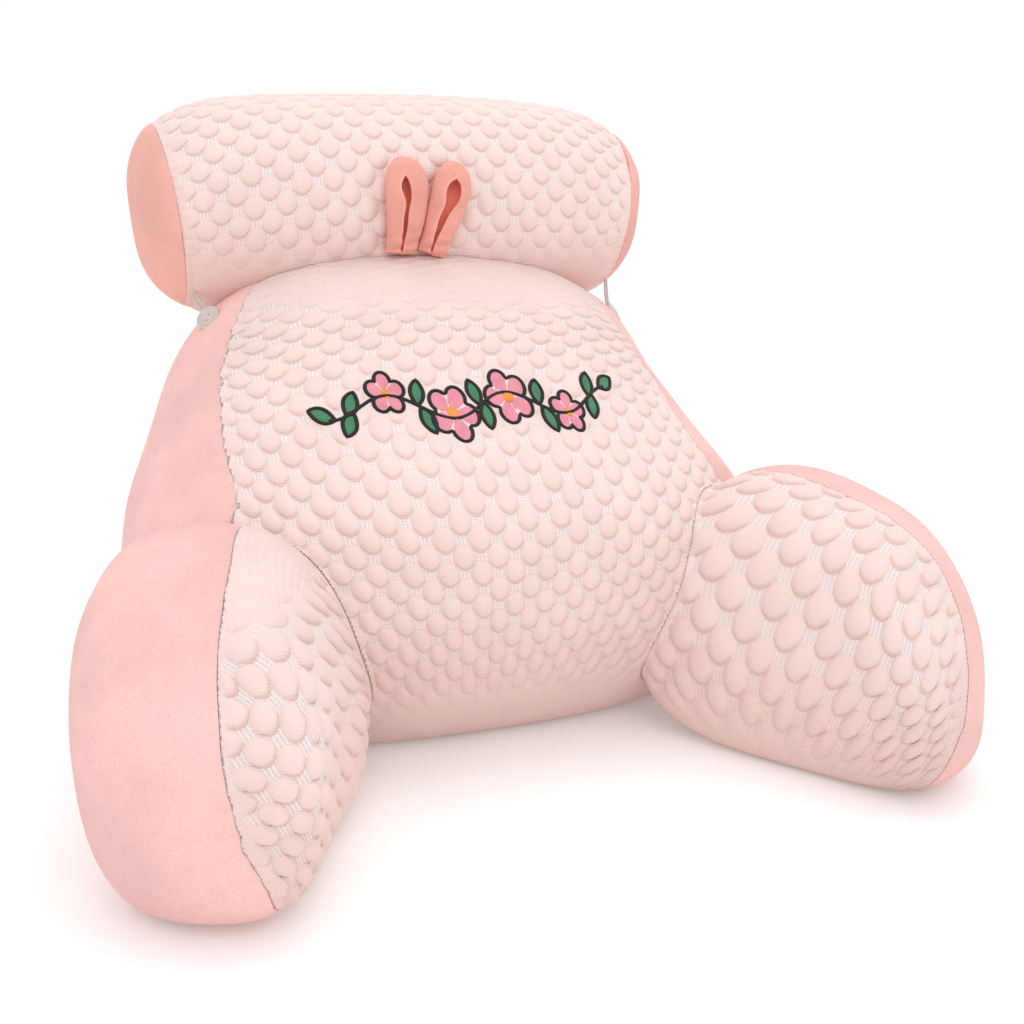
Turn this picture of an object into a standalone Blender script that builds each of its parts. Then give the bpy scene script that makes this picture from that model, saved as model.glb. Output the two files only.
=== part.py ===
"""Reading pillow with arms, in metres, +Z up, its front facing -Y and the viewer's right at +X.

A leaning back cushion, two stuffed arms and a neck bolster. Each filled form is blown up from a
coarse cage, cut flat where it stands, and parted along its sewn seams, so that every panel that a
maker would cut is its own solid with the filling behind it. The origin lies on the floor, under the
middle of the back cushion.
"""

import math
from collections import namedtuple

import bmesh
import bpy
from mathutils import Matrix, Vector

GAP = 0.0003  # between two pieces that touch
SIDES = {"left": -1, "right": 1}

# The back cushion, by height. "level" runs from -1 at its underside to 1 at its top.
Level = namedtuple("Level", "level z half_width front rear")
BACK_LEVELS = (
    Level(-1.00, -0.050, 0.320, -0.068, 0.183),
    Level(-0.55, 0.063, 0.312, -0.134, 0.214),
    Level(0.00, 0.189, 0.287, -0.138, 0.251),
    Level(0.50, 0.308, 0.251, -0.021, 0.290),
    Level(1.00, 0.398, 0.274, 0.045, 0.214),
)
BACK_ARCH = 0.018  # how much higher the top is at its middle
BACK_ARCH_HALF_WIDTH = 0.22
BACK_ARCH_LOWEST = -0.5  # of its height, which it falls to at the shoulders
BACK_PLAN_SQUARENESS = 2.39
BACK_RISE_SQUARENESS = 2.59

# One arm, from its root in the back to its rounded front end; the left arm mirrors the right.
Station = namedtuple("Station", "along x y half_width top lean")
ARM_STATIONS = (
    Station(0.00, 0.158, -0.056, 0.081, 0.217, 0.039),
    Station(0.25, 0.218, -0.130, 0.084, 0.226, 0.026),
    Station(0.50, 0.256, -0.201, 0.086, 0.216, 0.014),
    Station(0.75, 0.273, -0.269, 0.086, 0.188, 0.001),
    Station(1.00, 0.268, -0.334, 0.084, 0.141, -0.011),
)
ARM_SQUARENESS = 2.49
ARM_AXIS_BELOW_MIDDLE = 0.008

# The seam between the quilted and the plush half of an arm, seen from above.
PlanPoint = namedtuple("PlanPoint", "step x y")
ARM_SEAM = (
    PlanPoint(0, 0.200, 0.000),
    PlanPoint(1, 0.212, -0.070),
    PlanPoint(2, 0.224, -0.126),
    PlanPoint(3, 0.241, -0.172),
    PlanPoint(4, 0.258, -0.216),
    PlanPoint(5, 0.270, -0.258),
    PlanPoint(6, 0.273, -0.290),
    PlanPoint(7, 0.267, -0.319),
    PlanPoint(8, 0.255, -0.338),
    PlanPoint(9, 0.236, -0.356),
)
SEAM_POINTS_PER_STEP = 3

# The seam between the quilted front and the plush rear of the back cushion, seen from the side.
SidePoint = namedtuple("SidePoint", "z y")
BACK_SEAM = (
    SidePoint(-0.060, -0.066),
    SidePoint(0.050, -0.084),
    SidePoint(0.150, -0.088),
    SidePoint(0.220, -0.055),
    SidePoint(0.244, -0.033),
    SidePoint(0.272, 0.003),
    SidePoint(0.302, 0.036),
    SidePoint(0.347, 0.070),
    SidePoint(0.400, 0.098),
    SidePoint(0.460, 0.125),
)

# The neck bolster, round about the X axis and pulled in underneath by its loops.
BOLSTER_RADIUS = 0.1105
BOLSTER_HALF_LENGTH = 0.260
BOLSTER_SQUARENESS = 3.6
BOLSTER_CENTRE = Vector((0.0, 0.205, 0.4596))
BOLSTER_TILT = math.radians(1.5)
BOLSTER_PULL = 0.010
BOLSTER_PROFILE_POINTS = 11
BOLSTER_STEPS = 40
CAP_SEAM_TOP = 0.236  # half the quilted tube's length along its top
CAP_SEAM_BOTTOM = 0.213  # and along its underside

# The two plush ears, sewn to the front of the bolster, their edges folded in towards the front.
Ear = namedtuple("Ear", "x lean turn height half_width")
EARS = {
    "left": Ear(-0.0290, math.radians(3), math.radians(3), 0.086, 0.0188),
    "right": Ear(-0.0005, math.radians(17), math.radians(-6), 0.087, 0.0164),
}
EarRow = namedtuple("EarRow", "up width depth curl")
EAR_ROWS = (
    EarRow(0.00, 0.60, 0.0090, math.radians(165)),
    EarRow(0.25, 0.82, 0.0105, math.radians(160)),
    EarRow(0.50, 1.00, 0.0120, math.radians(150)),
    EarRow(0.75, 0.97, 0.0110, math.radians(120)),
    EarRow(0.92, 0.72, 0.0070, math.radians(80)),
    EarRow(1.00, 0.36, 0.0030, math.radians(50)),
)
EAR_THICKNESS = 0.0048
EAR_CLEARANCE = 0.00045  # from the bolster that it is sewn to
EAR_FOOT_Z = 0.4130
EAR_CELLS_ACROSS = 8
EAR_CELLS_UP = 8

# A two-hole button on each top corner of the back, on a shank of thread.
BUTTON_RADIUS = 0.0118
BUTTON_THICKNESS = 0.0032
BUTTON_RIM = 0.0016
BUTTON_DISH = 0.0007
BUTTON_EDGE = 0.0010
BUTTON_HOLE_RADIUS = 0.0009
BUTTON_HOLE_STEPS = 12
BUTTON_HOLE_OFFSET = 0.0031
SHANK_RADIUS = 0.0016
SHANK_LENGTH = 0.0050
BUTTON_STEPS = 28
BUTTON_SEAT = Vector((0.1991, 0.1211, 0.3521))
BUTTON_NORMAL = Vector((0.67, -0.50, 0.50)).normalized()

# The elastic loop that holds the bolster to each button.
LOOP_RADIUS = 0.0012
LOOP_ANCHOR = Vector((0.212, -0.0502, -0.0765))  # from the bolster's centre
LOOP_STRAND_SPREAD = 0.0030
LOOP_BOW = 0.0015  # the button's edge presses each strand this far down
LOOP_STRAND_POINTS = 7
LOOP_TURN_POINTS = 9
LOOP_TURN_HEIGHT = 0.0024  # of the cord's middle above the cloth, where it turns about the shank

CAGE_CUTS = 3
SMOOTH_LEVELS = 2
BACK_SWELL = 1.024  # the cage stands this much outside the form that it smooths down to
ARM_SWELL = 1.027
CUTTER_REACH = 0.8
BELOW_FLOOR = Vector((2.0, 2.0, 0.4))
SHARP_ANGLE = math.radians(60)
MERGE = 0.00001

QUILT_COLOUR = (0.93, 0.73, 0.69, 1)
PLUSH_COLOUR = (0.90, 0.50, 0.46, 1)
EAR_COLOUR = (0.85, 0.36, 0.31, 1)
TRIM_COLOUR = (0.80, 0.74, 0.69, 1)
CLOTH_ROUGHNESS = 0.9
ELASTIC_ROUGHNESS = 0.7
BUTTON_ROUGHNESS = 0.35


def new_collection(name):
    collection = bpy.data.collections.new(name)
    bpy.context.scene.collection.children.link(collection)
    return collection


def clear_scene():
    for obj in list(bpy.data.objects):
        bpy.data.objects.remove(obj, do_unlink=True)


def cloth(name, colour, roughness):
    """A Principled material in one of the pillow's colours."""
    material = bpy.data.materials.new(name)
    material.use_nodes = True
    shader = material.node_tree.nodes["Principled BSDF"]
    shader.inputs["Base Color"].default_value = colour
    shader.inputs["Roughness"].default_value = roughness
    shader.inputs["Metallic"].default_value = 0.0
    return material


def add_object(name, data, collection, colour=None, roughness=CLOTH_ROUGHNESS):
    obj = bpy.data.objects.new(name, data)
    collection.objects.link(obj)
    if colour:
        data.materials.clear()
        data.materials.append(cloth(name + "_cloth", colour, roughness))
    return obj


def mesh_from(bm, name):
    bm.normal_update()
    bmesh.ops.recalc_face_normals(bm, faces=bm.faces)
    mesh = bpy.data.meshes.new(name)
    bm.to_mesh(mesh)
    bm.free()
    return mesh


def make_cutter(obj):
    obj.hide_render = True
    obj.display_type = "WIRE"
    return obj


def smooth_between(rows, at):
    """The row of a table at a place in its first column, on a smooth curve through its rows."""
    places = [row[0] for row in rows]
    at = min(max(at, places[0]), places[-1])
    k = max(i for i in range(len(rows) - 1) if places[i] <= at)
    step = places[k + 1] - places[k]
    t = (at - places[k]) / step

    def slope(i, column):
        i0, i1 = max(i - 1, 0), min(i + 1, len(rows) - 1)
        return (rows[i1][column] - rows[i0][column]) / (places[i1] - places[i0])

    def value(column):
        start, end = rows[k][column], rows[k + 1][column]
        return (
            (1 + 2 * t) * (1 - t) ** 2 * start
            + t * (1 - t) ** 2 * step * slope(k, column)
            + t * t * (3 - 2 * t) * end
            + t * t * (t - 1) * step * slope(k + 1, column)
        )

    return type(rows[0])(*(value(column) for column in range(len(rows[0]))))


def rounded(corner, plan_squareness, rise_squareness):
    """A point of the cube from -1 to 1, blown out to a rounded block of the same reach."""
    a, b, c = (math.tan(value * math.pi / 4) for value in corner)
    plan = abs(a) ** plan_squareness + abs(b) ** plan_squareness
    size = plan ** (rise_squareness / plan_squareness) + abs(c) ** rise_squareness
    size = size ** (1 / rise_squareness)
    return a / size, b / size, c / size


def soft_cage(name, squareness, place, swell):
    """A coarse cage of a stuffed form: a cube in a grid, rounded, placed and let out a little."""
    bm = bmesh.new()
    bmesh.ops.create_cube(bm, size=2)
    bmesh.ops.subdivide_edges(bm, edges=bm.edges[:], cuts=CAGE_CUTS, use_grid_fill=True)
    for vert in bm.verts:
        vert.co = place(*rounded(vert.co, *squareness))
    middle = sum((vert.co for vert in bm.verts), Vector()) / len(bm.verts)
    for vert in bm.verts:
        vert.co = middle + (vert.co - middle) * swell
    return mesh_from(bm, name)


def soft_object(name, mesh, collection, colour=None):
    """A stuffed form on its cage, smoothed by subdivision."""
    obj = add_object(name, mesh, collection, colour)
    smoothing = obj.modifiers.new("smoothing", "SUBSURF")
    smoothing.levels = SMOOTH_LEVELS
    smoothing.render_levels = SMOOTH_LEVELS
    mesh.shade_smooth()
    return obj


def let_out(obj):
    """Makes a cutter a gap larger all round than the piece that it makes room for."""
    room = obj.modifiers.new("room", "DISPLACE")
    room.strength = GAP
    room.mid_level = 0.0
    return make_cutter(obj)


def cut_by(obj, *tools):
    for tool in tools:
        cut = obj.modifiers.new("cut by " + tool.name, "BOOLEAN")
        cut.operation = "DIFFERENCE"
        cut.solver = "EXACT"
        cut.object = tool


def place_back(a, b, c):
    row = smooth_between(BACK_LEVELS, c)
    x = row.half_width * a
    arch = BACK_ARCH * ((c + 1) / 2) ** 2 * max(1 - (x / BACK_ARCH_HALF_WIDTH) ** 2, BACK_ARCH_LOWEST)
    y = (row.front + row.rear) / 2 + (row.rear - row.front) / 2 * b
    return Vector((x, y, row.z + arch))


def place_arm(side):
    """Where a point of the rounded block lies in one arm: a runs outwards and b to the root."""
    root, tip = ARM_STATIONS[0], ARM_STATIONS[-1]
    along = Vector((tip.x - root.x, tip.y - root.y, 0)).normalized()
    outward = Vector((-along.y, along.x, 0))

    def place(a, b, c):
        row = smooth_between(ARM_STATIONS, (1 - b) / 2)
        axis_z = row.top / 2 - ARM_AXIS_BELOW_MIDDLE
        across = row.half_width * a + row.lean * c
        z = axis_z + (row.top - axis_z) * c
        x, y, _ = Vector((row.x, row.y, 0)) + outward * across
        return Vector((side * x, y, z))

    return place


def floor_cutter(collection):
    """The block below the floor, which the cushions are cut flat by."""
    bm = bmesh.new()
    bmesh.ops.create_cube(bm, size=1)
    bmesh.ops.scale(bm, verts=bm.verts, vec=BELOW_FLOOR)
    bmesh.ops.translate(bm, verts=bm.verts, vec=(0, 0, -BELOW_FLOOR.z / 2))
    return make_cutter(add_object("below_floor", mesh_from(bm, "below_floor"), collection))


def prism(name, outline, extrusion, collection):
    """A closed prism on a flat outline of corners in order."""
    bm = bmesh.new()
    face = bm.faces.new([bm.verts.new(corner) for corner in outline])
    swept = bmesh.ops.extrude_face_region(bm, geom=[face])
    verts = [item for item in swept["geom"] if isinstance(item, bmesh.types.BMVert)]
    bmesh.ops.translate(bm, verts=verts, vec=extrusion)
    return make_cutter(add_object(name, mesh_from(bm, name), collection))


def seam_line(rows, corner):
    """Points along a seam that a table gives, through the corner that makes one from a row."""
    steps = (len(rows) - 1) * SEAM_POINTS_PER_STEP
    first, last = rows[0][0], rows[-1][0]
    places = [first + (last - first) * i / steps for i in range(steps + 1)]
    return [corner(smooth_between(rows, place)) for place in places]


def arm_seam_cutters(side_name, collection):
    """The two prisms that part one arm: one takes its outer half away, the other its inner."""
    side = SIDES[side_name]
    cutters = {}
    for taken, shift, far in (("outer", -GAP / 2, CUTTER_REACH), ("inner", GAP / 2, -CUTTER_REACH)):
        line = seam_line(
            ARM_SEAM, lambda row: Vector((side * (row.x + shift), row.y, -CUTTER_REACH / 2))
        )
        ends = [line[-1] + Vector((side * far, 0, 0)), line[0] + Vector((side * far, 0, 0))]
        name = f"arm_seam_{taken}_{side_name}"
        cutters[taken] = prism(name, line + ends, (0, 0, CUTTER_REACH), collection)
    return cutters


def back_seam_cutters(collection):
    """The two prisms that part the back cushion: one takes its front away, the other its rear."""
    cutters = {}
    for taken, shift, far in (("front", GAP / 2, -CUTTER_REACH), ("rear", -GAP / 2, CUTTER_REACH)):
        line = seam_line(BACK_SEAM, lambda row: Vector((-CUTTER_REACH / 2, row.y + shift, row.z)))
        ends = [line[-1] + Vector((0, far, 0)), line[0] + Vector((0, far, 0))]
        name = f"back_seam_{taken}"
        cutters[taken] = prism(name, line + ends, (CUTTER_REACH, 0, 0), collection)
    return cutters


def bolster_frame():
    return Matrix.Translation(BOLSTER_CENTRE) @ Matrix.Rotation(-BOLSTER_TILT, 4, "Y")


def bolster_form():
    """The whole bolster as one turned form about X, pulled in underneath at both ends."""
    power = 2 / BOLSTER_SQUARENESS
    bm = bmesh.new()
    profile = []
    for i in range(2 * BOLSTER_PROFILE_POINTS + 1):
        angle = math.pi * i / (2 * BOLSTER_PROFILE_POINTS)
        along = -math.copysign(abs(math.cos(angle)) ** power, math.cos(angle))
        out = math.sin(angle) ** power
        profile.append(bm.verts.new((along * BOLSTER_HALF_LENGTH, 0, out * BOLSTER_RADIUS)))
    edges = [bm.edges.new(pair) for pair in zip(profile, profile[1:])]
    bmesh.ops.spin(
        bm,
        geom=profile + edges,
        cent=(0, 0, 0),
        axis=(1, 0, 0),
        angle=math.tau,
        steps=BOLSTER_STEPS,
        use_merge=True,
    )
    bmesh.ops.remove_doubles(bm, verts=bm.verts, dist=MERGE)
    for vert in bm.verts:
        share = vert.co.x / BOLSTER_HALF_LENGTH
        underneath = (1 - vert.co.z / BOLSTER_RADIUS) / 2
        vert.co.x -= math.copysign(BOLSTER_PULL * share**2 * underneath, share)
    return bm


def bolster_seam_plane(side):
    """A point on the slanted seam of one end cap, and the plane's outward direction."""
    top = Vector((side * CAP_SEAM_TOP, 0, BOLSTER_RADIUS))
    bottom = Vector((side * CAP_SEAM_BOTTOM, 0, -BOLSTER_RADIUS))
    return (top + bottom) / 2, (top - bottom).cross(Vector((0, -side, 0))).normalized()


def bolster_piece(name, keep, collection, colour):
    """The bolster between its seams, or one cap beyond them, as "keep" says."""
    bm = bolster_form()
    for side_name, side in SIDES.items():
        point, outward = bolster_seam_plane(side)
        if keep not in ("tube", side_name):
            continue
        sign = 1 if keep == "tube" else -1
        cut = bmesh.ops.bisect_plane(
            bm,
            geom=bm.verts[:] + bm.edges[:] + bm.faces[:],
            plane_co=point - sign * outward * GAP / 2,
            plane_no=outward * sign,
            clear_outer=True,
        )
        rim = [item for item in cut["geom_cut"] if isinstance(item, bmesh.types.BMEdge)]
        bmesh.ops.contextual_create(bm, geom=rim)
    obj = add_object(name, mesh_from(bm, name), collection, colour)
    obj.matrix_world = bolster_frame()
    obj.data.shade_smooth()
    obj.data.set_sharp_from_angle(angle=SHARP_ANGLE)
    return obj


def bolster_room(collection):
    """The whole bolster as a cutter, which presses its seat into the top of the back."""
    obj = add_object("bolster_room", mesh_from(bolster_form(), "bolster_room"), collection)
    obj.matrix_world = bolster_frame()
    return let_out(obj)


def ear_object(side_name, collection):
    """One plush ear: a leaf that lies on the bolster, both edges folded in towards the front."""
    ear = EARS[side_name]
    reach = BOLSTER_RADIUS + EAR_CLEARANCE + EAR_THICKNESS / 2
    foot = EAR_FOOT_Z - BOLSTER_CENTRE.z
    bm = bmesh.new()
    bmesh.ops.create_grid(bm, x_segments=EAR_CELLS_ACROSS, y_segments=EAR_CELLS_UP, size=1)
    for vert in bm.verts:
        across, up = vert.co.x, (vert.co.y + 1) / 2
        row = smooth_between(EAR_ROWS, up)
        angle = across * row.curl
        rise = foot + ear.height * up * math.cos(ear.lean)
        behind = reach - math.sqrt(reach**2 - rise**2)
        widest = math.sin(min(row.curl, math.pi / 2))
        vert.co.x = ear.half_width * row.width * math.sin(angle) / widest
        vert.co.y = behind - row.depth * (1 - math.cos(angle)) / 2
        vert.co.z = ear.height * up
    name = f"ear_{side_name}"
    mesh = mesh_from(bm, name)
    obj = add_object(name, mesh, collection, EAR_COLOUR)
    obj.matrix_world = (
        Matrix.Translation((ear.x, BOLSTER_CENTRE.y - reach, EAR_FOOT_Z))
        @ Matrix.Rotation(ear.lean, 4, "Y")
        @ Matrix.Rotation(ear.turn, 4, "Z")
    )
    body = obj.modifiers.new("thickness", "SOLIDIFY")
    body.thickness = EAR_THICKNESS
    body.offset = 0
    soft = obj.modifiers.new("smoothing", "SUBSURF")
    soft.levels = 1
    soft.render_levels = 1
    mesh.shade_smooth()
    return obj


def corner_frame(side):
    """The frame of one top corner: its origin on the cloth, +Z out of it and +Y up along it."""
    seat = Vector((side * BUTTON_SEAT.x, BUTTON_SEAT.y, BUTTON_SEAT.z))
    out = Vector((side * BUTTON_NORMAL.x, BUTTON_NORMAL.y, BUTTON_NORMAL.z))
    up = (Vector((0, 0, 1)) - out * out.z).normalized()
    across = up.cross(out)
    frame = Matrix((across, up, out)).transposed().to_4x4()
    frame.translation = seat
    return frame


def button_object(side_name, collection, cutters):
    """A dished button with a raised rim and two holes, turned in one with its thread shank."""
    foot = GAP
    under = foot + SHANK_LENGTH
    face = under + BUTTON_THICKNESS
    profile = (
        (0, face - BUTTON_DISH),
        (BUTTON_RADIUS - BUTTON_RIM - BUTTON_DISH, face - BUTTON_DISH),
        (BUTTON_RADIUS - BUTTON_RIM, face),
        (BUTTON_RADIUS - BUTTON_EDGE, face),
        (BUTTON_RADIUS, face - BUTTON_EDGE),
        (BUTTON_RADIUS, under + BUTTON_EDGE),
        (BUTTON_RADIUS - BUTTON_EDGE, under),
        (SHANK_RADIUS, under),
        (SHANK_RADIUS, foot),
        (0, foot),
    )
    bm = bmesh.new()
    verts = [bm.verts.new((r, 0, z)) for r, z in profile]
    for pair in zip(verts, verts[1:]):
        bm.edges.new(pair)
    name = f"button_{side_name}"
    mesh = bpy.data.meshes.new(name)
    bm.to_mesh(mesh)
    bm.free()
    obj = add_object(name, mesh, collection, TRIM_COLOUR, BUTTON_ROUGHNESS)
    obj.matrix_world = corner_frame(SIDES[side_name])
    turn = obj.modifiers.new("turn", "SCREW")
    turn.steps = BUTTON_STEPS
    turn.render_steps = BUTTON_STEPS
    turn.use_merge_vertices = True
    turn.merge_threshold = MERGE
    for sign in (1, -1):
        hole = bmesh.new()
        bmesh.ops.create_cone(
            hole,
            cap_ends=True,
            segments=BUTTON_HOLE_STEPS,
            radius1=BUTTON_HOLE_RADIUS,
            radius2=BUTTON_HOLE_RADIUS,
            depth=2 * BUTTON_THICKNESS,
        )
        middle = (0, sign * BUTTON_HOLE_OFFSET, under + BUTTON_THICKNESS / 2)
        bmesh.ops.translate(hole, verts=hole.verts, vec=middle)
        hole_name = f"button_hole_{side_name}_{'upper' if sign > 0 else 'lower'}"
        tool = make_cutter(add_object(hole_name, mesh_from(hole, hole_name), cutters))
        tool.matrix_world = corner_frame(SIDES[side_name])
        cut_by(obj, tool)
    return obj


def loop_object(side_name, collection):
    """A round elastic, from the bolster's seam down, about the shank and up again."""
    side = SIDES[side_name]
    frame = corner_frame(side)
    anchor = bolster_frame() @ Vector((side * LOOP_ANCHOR.x, LOOP_ANCHOR.y, LOOP_ANCHOR.z))
    turn_radius = SHANK_RADIUS + LOOP_RADIUS + GAP
    local = frame.inverted() @ anchor
    heading = math.atan2(local.y, local.x)
    turn = []
    for i in range(LOOP_TURN_POINTS):
        angle = heading + math.pi / 2 + math.pi * i / (LOOP_TURN_POINTS - 1)
        turned = (turn_radius * math.cos(angle), turn_radius * math.sin(angle), LOOP_TURN_HEIGHT)
        turn.append(frame @ Vector(turned))
    across = frame.to_3x3() @ Vector((-math.sin(heading), math.cos(heading), 0))
    out = frame.to_3x3() @ Vector((0, 0, 1))

    def strand(start, sign):
        end = anchor + across * sign * LOOP_STRAND_SPREAD / 2
        shares = [i / LOOP_STRAND_POINTS for i in range(1, LOOP_STRAND_POINTS + 1)]
        return [start.lerp(end, t) - out * LOOP_BOW * math.sin(math.pi * t) for t in shares]

    points = strand(turn[0], 1)[::-1] + turn + strand(turn[-1], -1)
    curve = bpy.data.curves.new(f"loop_{side_name}", "CURVE")
    curve.dimensions = "3D"
    curve.bevel_depth = LOOP_RADIUS
    curve.bevel_resolution = 2
    curve.use_fill_caps = True
    spline = curve.splines.new("POLY")
    spline.points.add(len(points) - 1)
    for target, point in zip(spline.points, points):
        target.co = (*point, 1)
    return add_object(curve.name, curve, collection, TRIM_COLOUR, ELASTIC_ROUGHNESS)


def back_objects(parts, cutters, below_floor):
    squareness = (BACK_PLAN_SQUARENESS, BACK_RISE_SQUARENESS)
    cage = soft_cage("back_cage", squareness, place_back, BACK_SWELL)
    seam = back_seam_cutters(cutters)
    rooms = [bolster_room(cutters)]
    for side_name, side in SIDES.items():
        arm_cage = soft_cage("arm_cage", (ARM_SQUARENESS,) * 2, place_arm(side), ARM_SWELL)
        rooms.append(let_out(soft_object(f"arm_room_{side_name}", arm_cage, cutters)))
    quilt = soft_object("back_quilt", cage.copy(), parts, QUILT_COLOUR)
    plush = soft_object("back_plush", cage.copy(), parts, PLUSH_COLOUR)
    cut_by(quilt, *rooms, below_floor, seam["rear"])
    cut_by(plush, *rooms, below_floor, seam["front"])


def arm_objects(parts, cutters, below_floor):
    for side_name, side in SIDES.items():
        cage = soft_cage("arm_cage", (ARM_SQUARENESS,) * 2, place_arm(side), ARM_SWELL)
        seam = arm_seam_cutters(side_name, cutters)
        quilt = soft_object(f"arm_quilt_{side_name}", cage.copy(), parts, QUILT_COLOUR)
        plush = soft_object(f"arm_plush_{side_name}", cage.copy(), parts, PLUSH_COLOUR)
        cut_by(quilt, seam["outer"], below_floor)
        cut_by(plush, seam["inner"], below_floor)


def main():
    clear_scene()
    parts = new_collection("reading_pillow")
    cutters = new_collection("cutters")
    below_floor = floor_cutter(cutters)
    back_objects(parts, cutters, below_floor)
    arm_objects(parts, cutters, below_floor)
    bolster_piece("bolster_quilt", "tube", parts, QUILT_COLOUR)
    for side_name in SIDES:
        bolster_piece(f"bolster_cap_{side_name}", side_name, parts, PLUSH_COLOUR)
        ear_object(side_name, parts)
        button_object(side_name, parts, cutters)
        loop_object(side_name, parts)


main()
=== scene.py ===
"""Reading pillow with arms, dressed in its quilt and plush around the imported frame.

Everything is in metres and in the frame's own axes: +Z up, the front facing -Y, the viewer's right
at +X. A stuffed form is a cube of fine cells that is rounded and placed by the same tables as its
solid, then quilted, creased along its seams, and parted from its neighbours. Where the cloth
departs from the solids, as at the seams and the right arm's root, it has a table of its own.
"""

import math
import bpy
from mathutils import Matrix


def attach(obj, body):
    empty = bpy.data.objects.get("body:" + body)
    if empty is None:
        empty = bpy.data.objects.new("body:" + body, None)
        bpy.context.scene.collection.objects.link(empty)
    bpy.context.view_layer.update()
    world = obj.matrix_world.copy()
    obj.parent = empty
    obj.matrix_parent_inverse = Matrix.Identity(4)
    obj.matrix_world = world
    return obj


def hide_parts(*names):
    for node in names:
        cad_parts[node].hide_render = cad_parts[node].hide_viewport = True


bl_info = {
    "name": "Reading pillow with arms",
    "version": (1, 0, 0),
    "blender": (4, 5, 0),
    "location": "3D Viewport > Sidebar > Pillow",
    "description": "Dresses the packed reading pillow in quilt, plush, ears, buttons and embroidery",
    "category": "Mesh",
}

from collections import namedtuple

import bmesh
import bpy
import numpy as np
from mathutils import Matrix, Vector
from mathutils.bvhtree import BVHTree

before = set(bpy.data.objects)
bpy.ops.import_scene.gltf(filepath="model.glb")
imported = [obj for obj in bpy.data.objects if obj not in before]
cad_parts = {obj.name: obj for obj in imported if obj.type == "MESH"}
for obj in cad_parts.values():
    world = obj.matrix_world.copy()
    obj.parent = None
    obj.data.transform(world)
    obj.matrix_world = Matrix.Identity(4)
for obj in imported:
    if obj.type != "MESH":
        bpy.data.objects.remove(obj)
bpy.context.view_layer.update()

SIDES = {"left": -1, "right": 1}
GAP = 0.0003  # between two pieces that touch

# The back cushion, by height. "level" runs from -1 at its underside to 1 at its top.
Level = namedtuple("Level", "level z half_width front rear")
BACK_LEVELS = (
    Level(-1.00, -0.050, 0.320, -0.068, 0.183),
    Level(-0.55, 0.063, 0.312, -0.134, 0.214),
    Level(0.00, 0.189, 0.287, -0.138, 0.251),
    Level(0.50, 0.308, 0.251, -0.021, 0.290),
    Level(1.00, 0.398, 0.274, 0.045, 0.214),
)
BACK_ARCH = 0.018  # how much higher the top is at its middle
BACK_ARCH_HALF_WIDTH = 0.22
BACK_ARCH_LOWEST = -0.5
BACK_SQUARENESS = (2.39, 2.59)  # in plan, and as it rises
Lean = namedtuple("Lean", "z x narrower")
BACK_LEAN = (  # how far the back has slumped sideways and drawn in, by height
    Lean(0.05, 0.000, 0.000),
    Lean(0.20, 0.000, 0.001),
    Lean(0.26, -0.003, 0.003),
    Lean(0.30, -0.003, 0.001),
    Lean(0.335, 0.000, 0.000),
    Lean(0.40, 0.000, 0.000),
)

# One arm, from its root in the back to its rounded front end; the left arm mirrors the right.
Station = namedtuple("Station", "along x y half_width top lean")
ARM_STATIONS = (
    Station(0.00, 0.158, -0.056, 0.081, 0.217, 0.039),
    Station(0.25, 0.218, -0.130, 0.084, 0.226, 0.026),
    Station(0.50, 0.256, -0.201, 0.086, 0.216, 0.014),
    Station(0.75, 0.273, -0.269, 0.086, 0.188, 0.001),
    Station(1.00, 0.268, -0.334, 0.084, 0.141, -0.011),
)
ARM_SQUARENESS = (2.49, 2.49)
ARM_AXIS_BELOW_MIDDLE = 0.008
ARM_ROOT_RAISED = {"left": 0.0, "right": 0.024}  # how much higher the root is than its solid's
ARM_RAISED_UP_TO = 0.55  # the share of the arm over which that fades out

# The seam between the quilted and the plush half of an arm, seen from above.
PlanPoint = namedtuple("PlanPoint", "step x y")
ARM_SEAM = (
    PlanPoint(0, 0.200, 0.000),
    PlanPoint(1, 0.212, -0.070),
    PlanPoint(2, 0.224, -0.126),
    PlanPoint(3, 0.241, -0.172),
    PlanPoint(4, 0.258, -0.216),
    PlanPoint(5, 0.270, -0.258),
    PlanPoint(6, 0.273, -0.290),
    PlanPoint(7, 0.267, -0.319),
    PlanPoint(8, 0.255, -0.338),
    PlanPoint(9, 0.236, -0.356),
)

# The seam between the quilted front and the plush rear of the back cushion, seen from the side.
SidePoint = namedtuple("SidePoint", "z y")
BACK_SEAM = (
    SidePoint(-0.060, -0.020),
    SidePoint(0.020, -0.045),
    SidePoint(0.080, -0.070),
    SidePoint(0.150, -0.088),
    SidePoint(0.211, -0.066),
    SidePoint(0.244, -0.030),
    SidePoint(0.272, 0.007),
    SidePoint(0.302, 0.047),
    SidePoint(0.338, 0.075),
    SidePoint(0.368, 0.098),
    SidePoint(0.400, 0.140),
    SidePoint(0.460, 0.205),
)

# How far each arm's seam swings outwards from its solid's, by distance ahead of the middle. Low
# down it tucks in, by a share of how far it is below the given height.
Swing = namedtuple("Swing", "ahead outwards")
ARM_SEAM_SWING = {
    "right": (
        Swing(0.10, 0.000),
        Swing(0.17, 0.006),
        Swing(0.24, 0.009),
        Swing(0.29, 0.016),
        Swing(0.32, 0.011),
        Swing(0.36, 0.000),
    ),
    "left": (
        Swing(0.10, 0.000),
        Swing(0.17, -0.008),
        Swing(0.22, -0.014),
        Swing(0.26, -0.013),
        Swing(0.30, -0.004),
        Swing(0.33, 0.006),
        Swing(0.36, 0.006),
    ),
}
ARM_SEAM_TUCK = 0.65
ARM_SEAM_TUCK_BELOW = 0.062
ARM_SEAM_TUCK_SOFTNESS = 0.010
ARM_SEAM_HEIGHTS = (-0.10, 0.40)
ARM_SEAM_LEVELS = 24
SEAM_STEPS = 60
SEAM_REACH = 0.8

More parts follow.
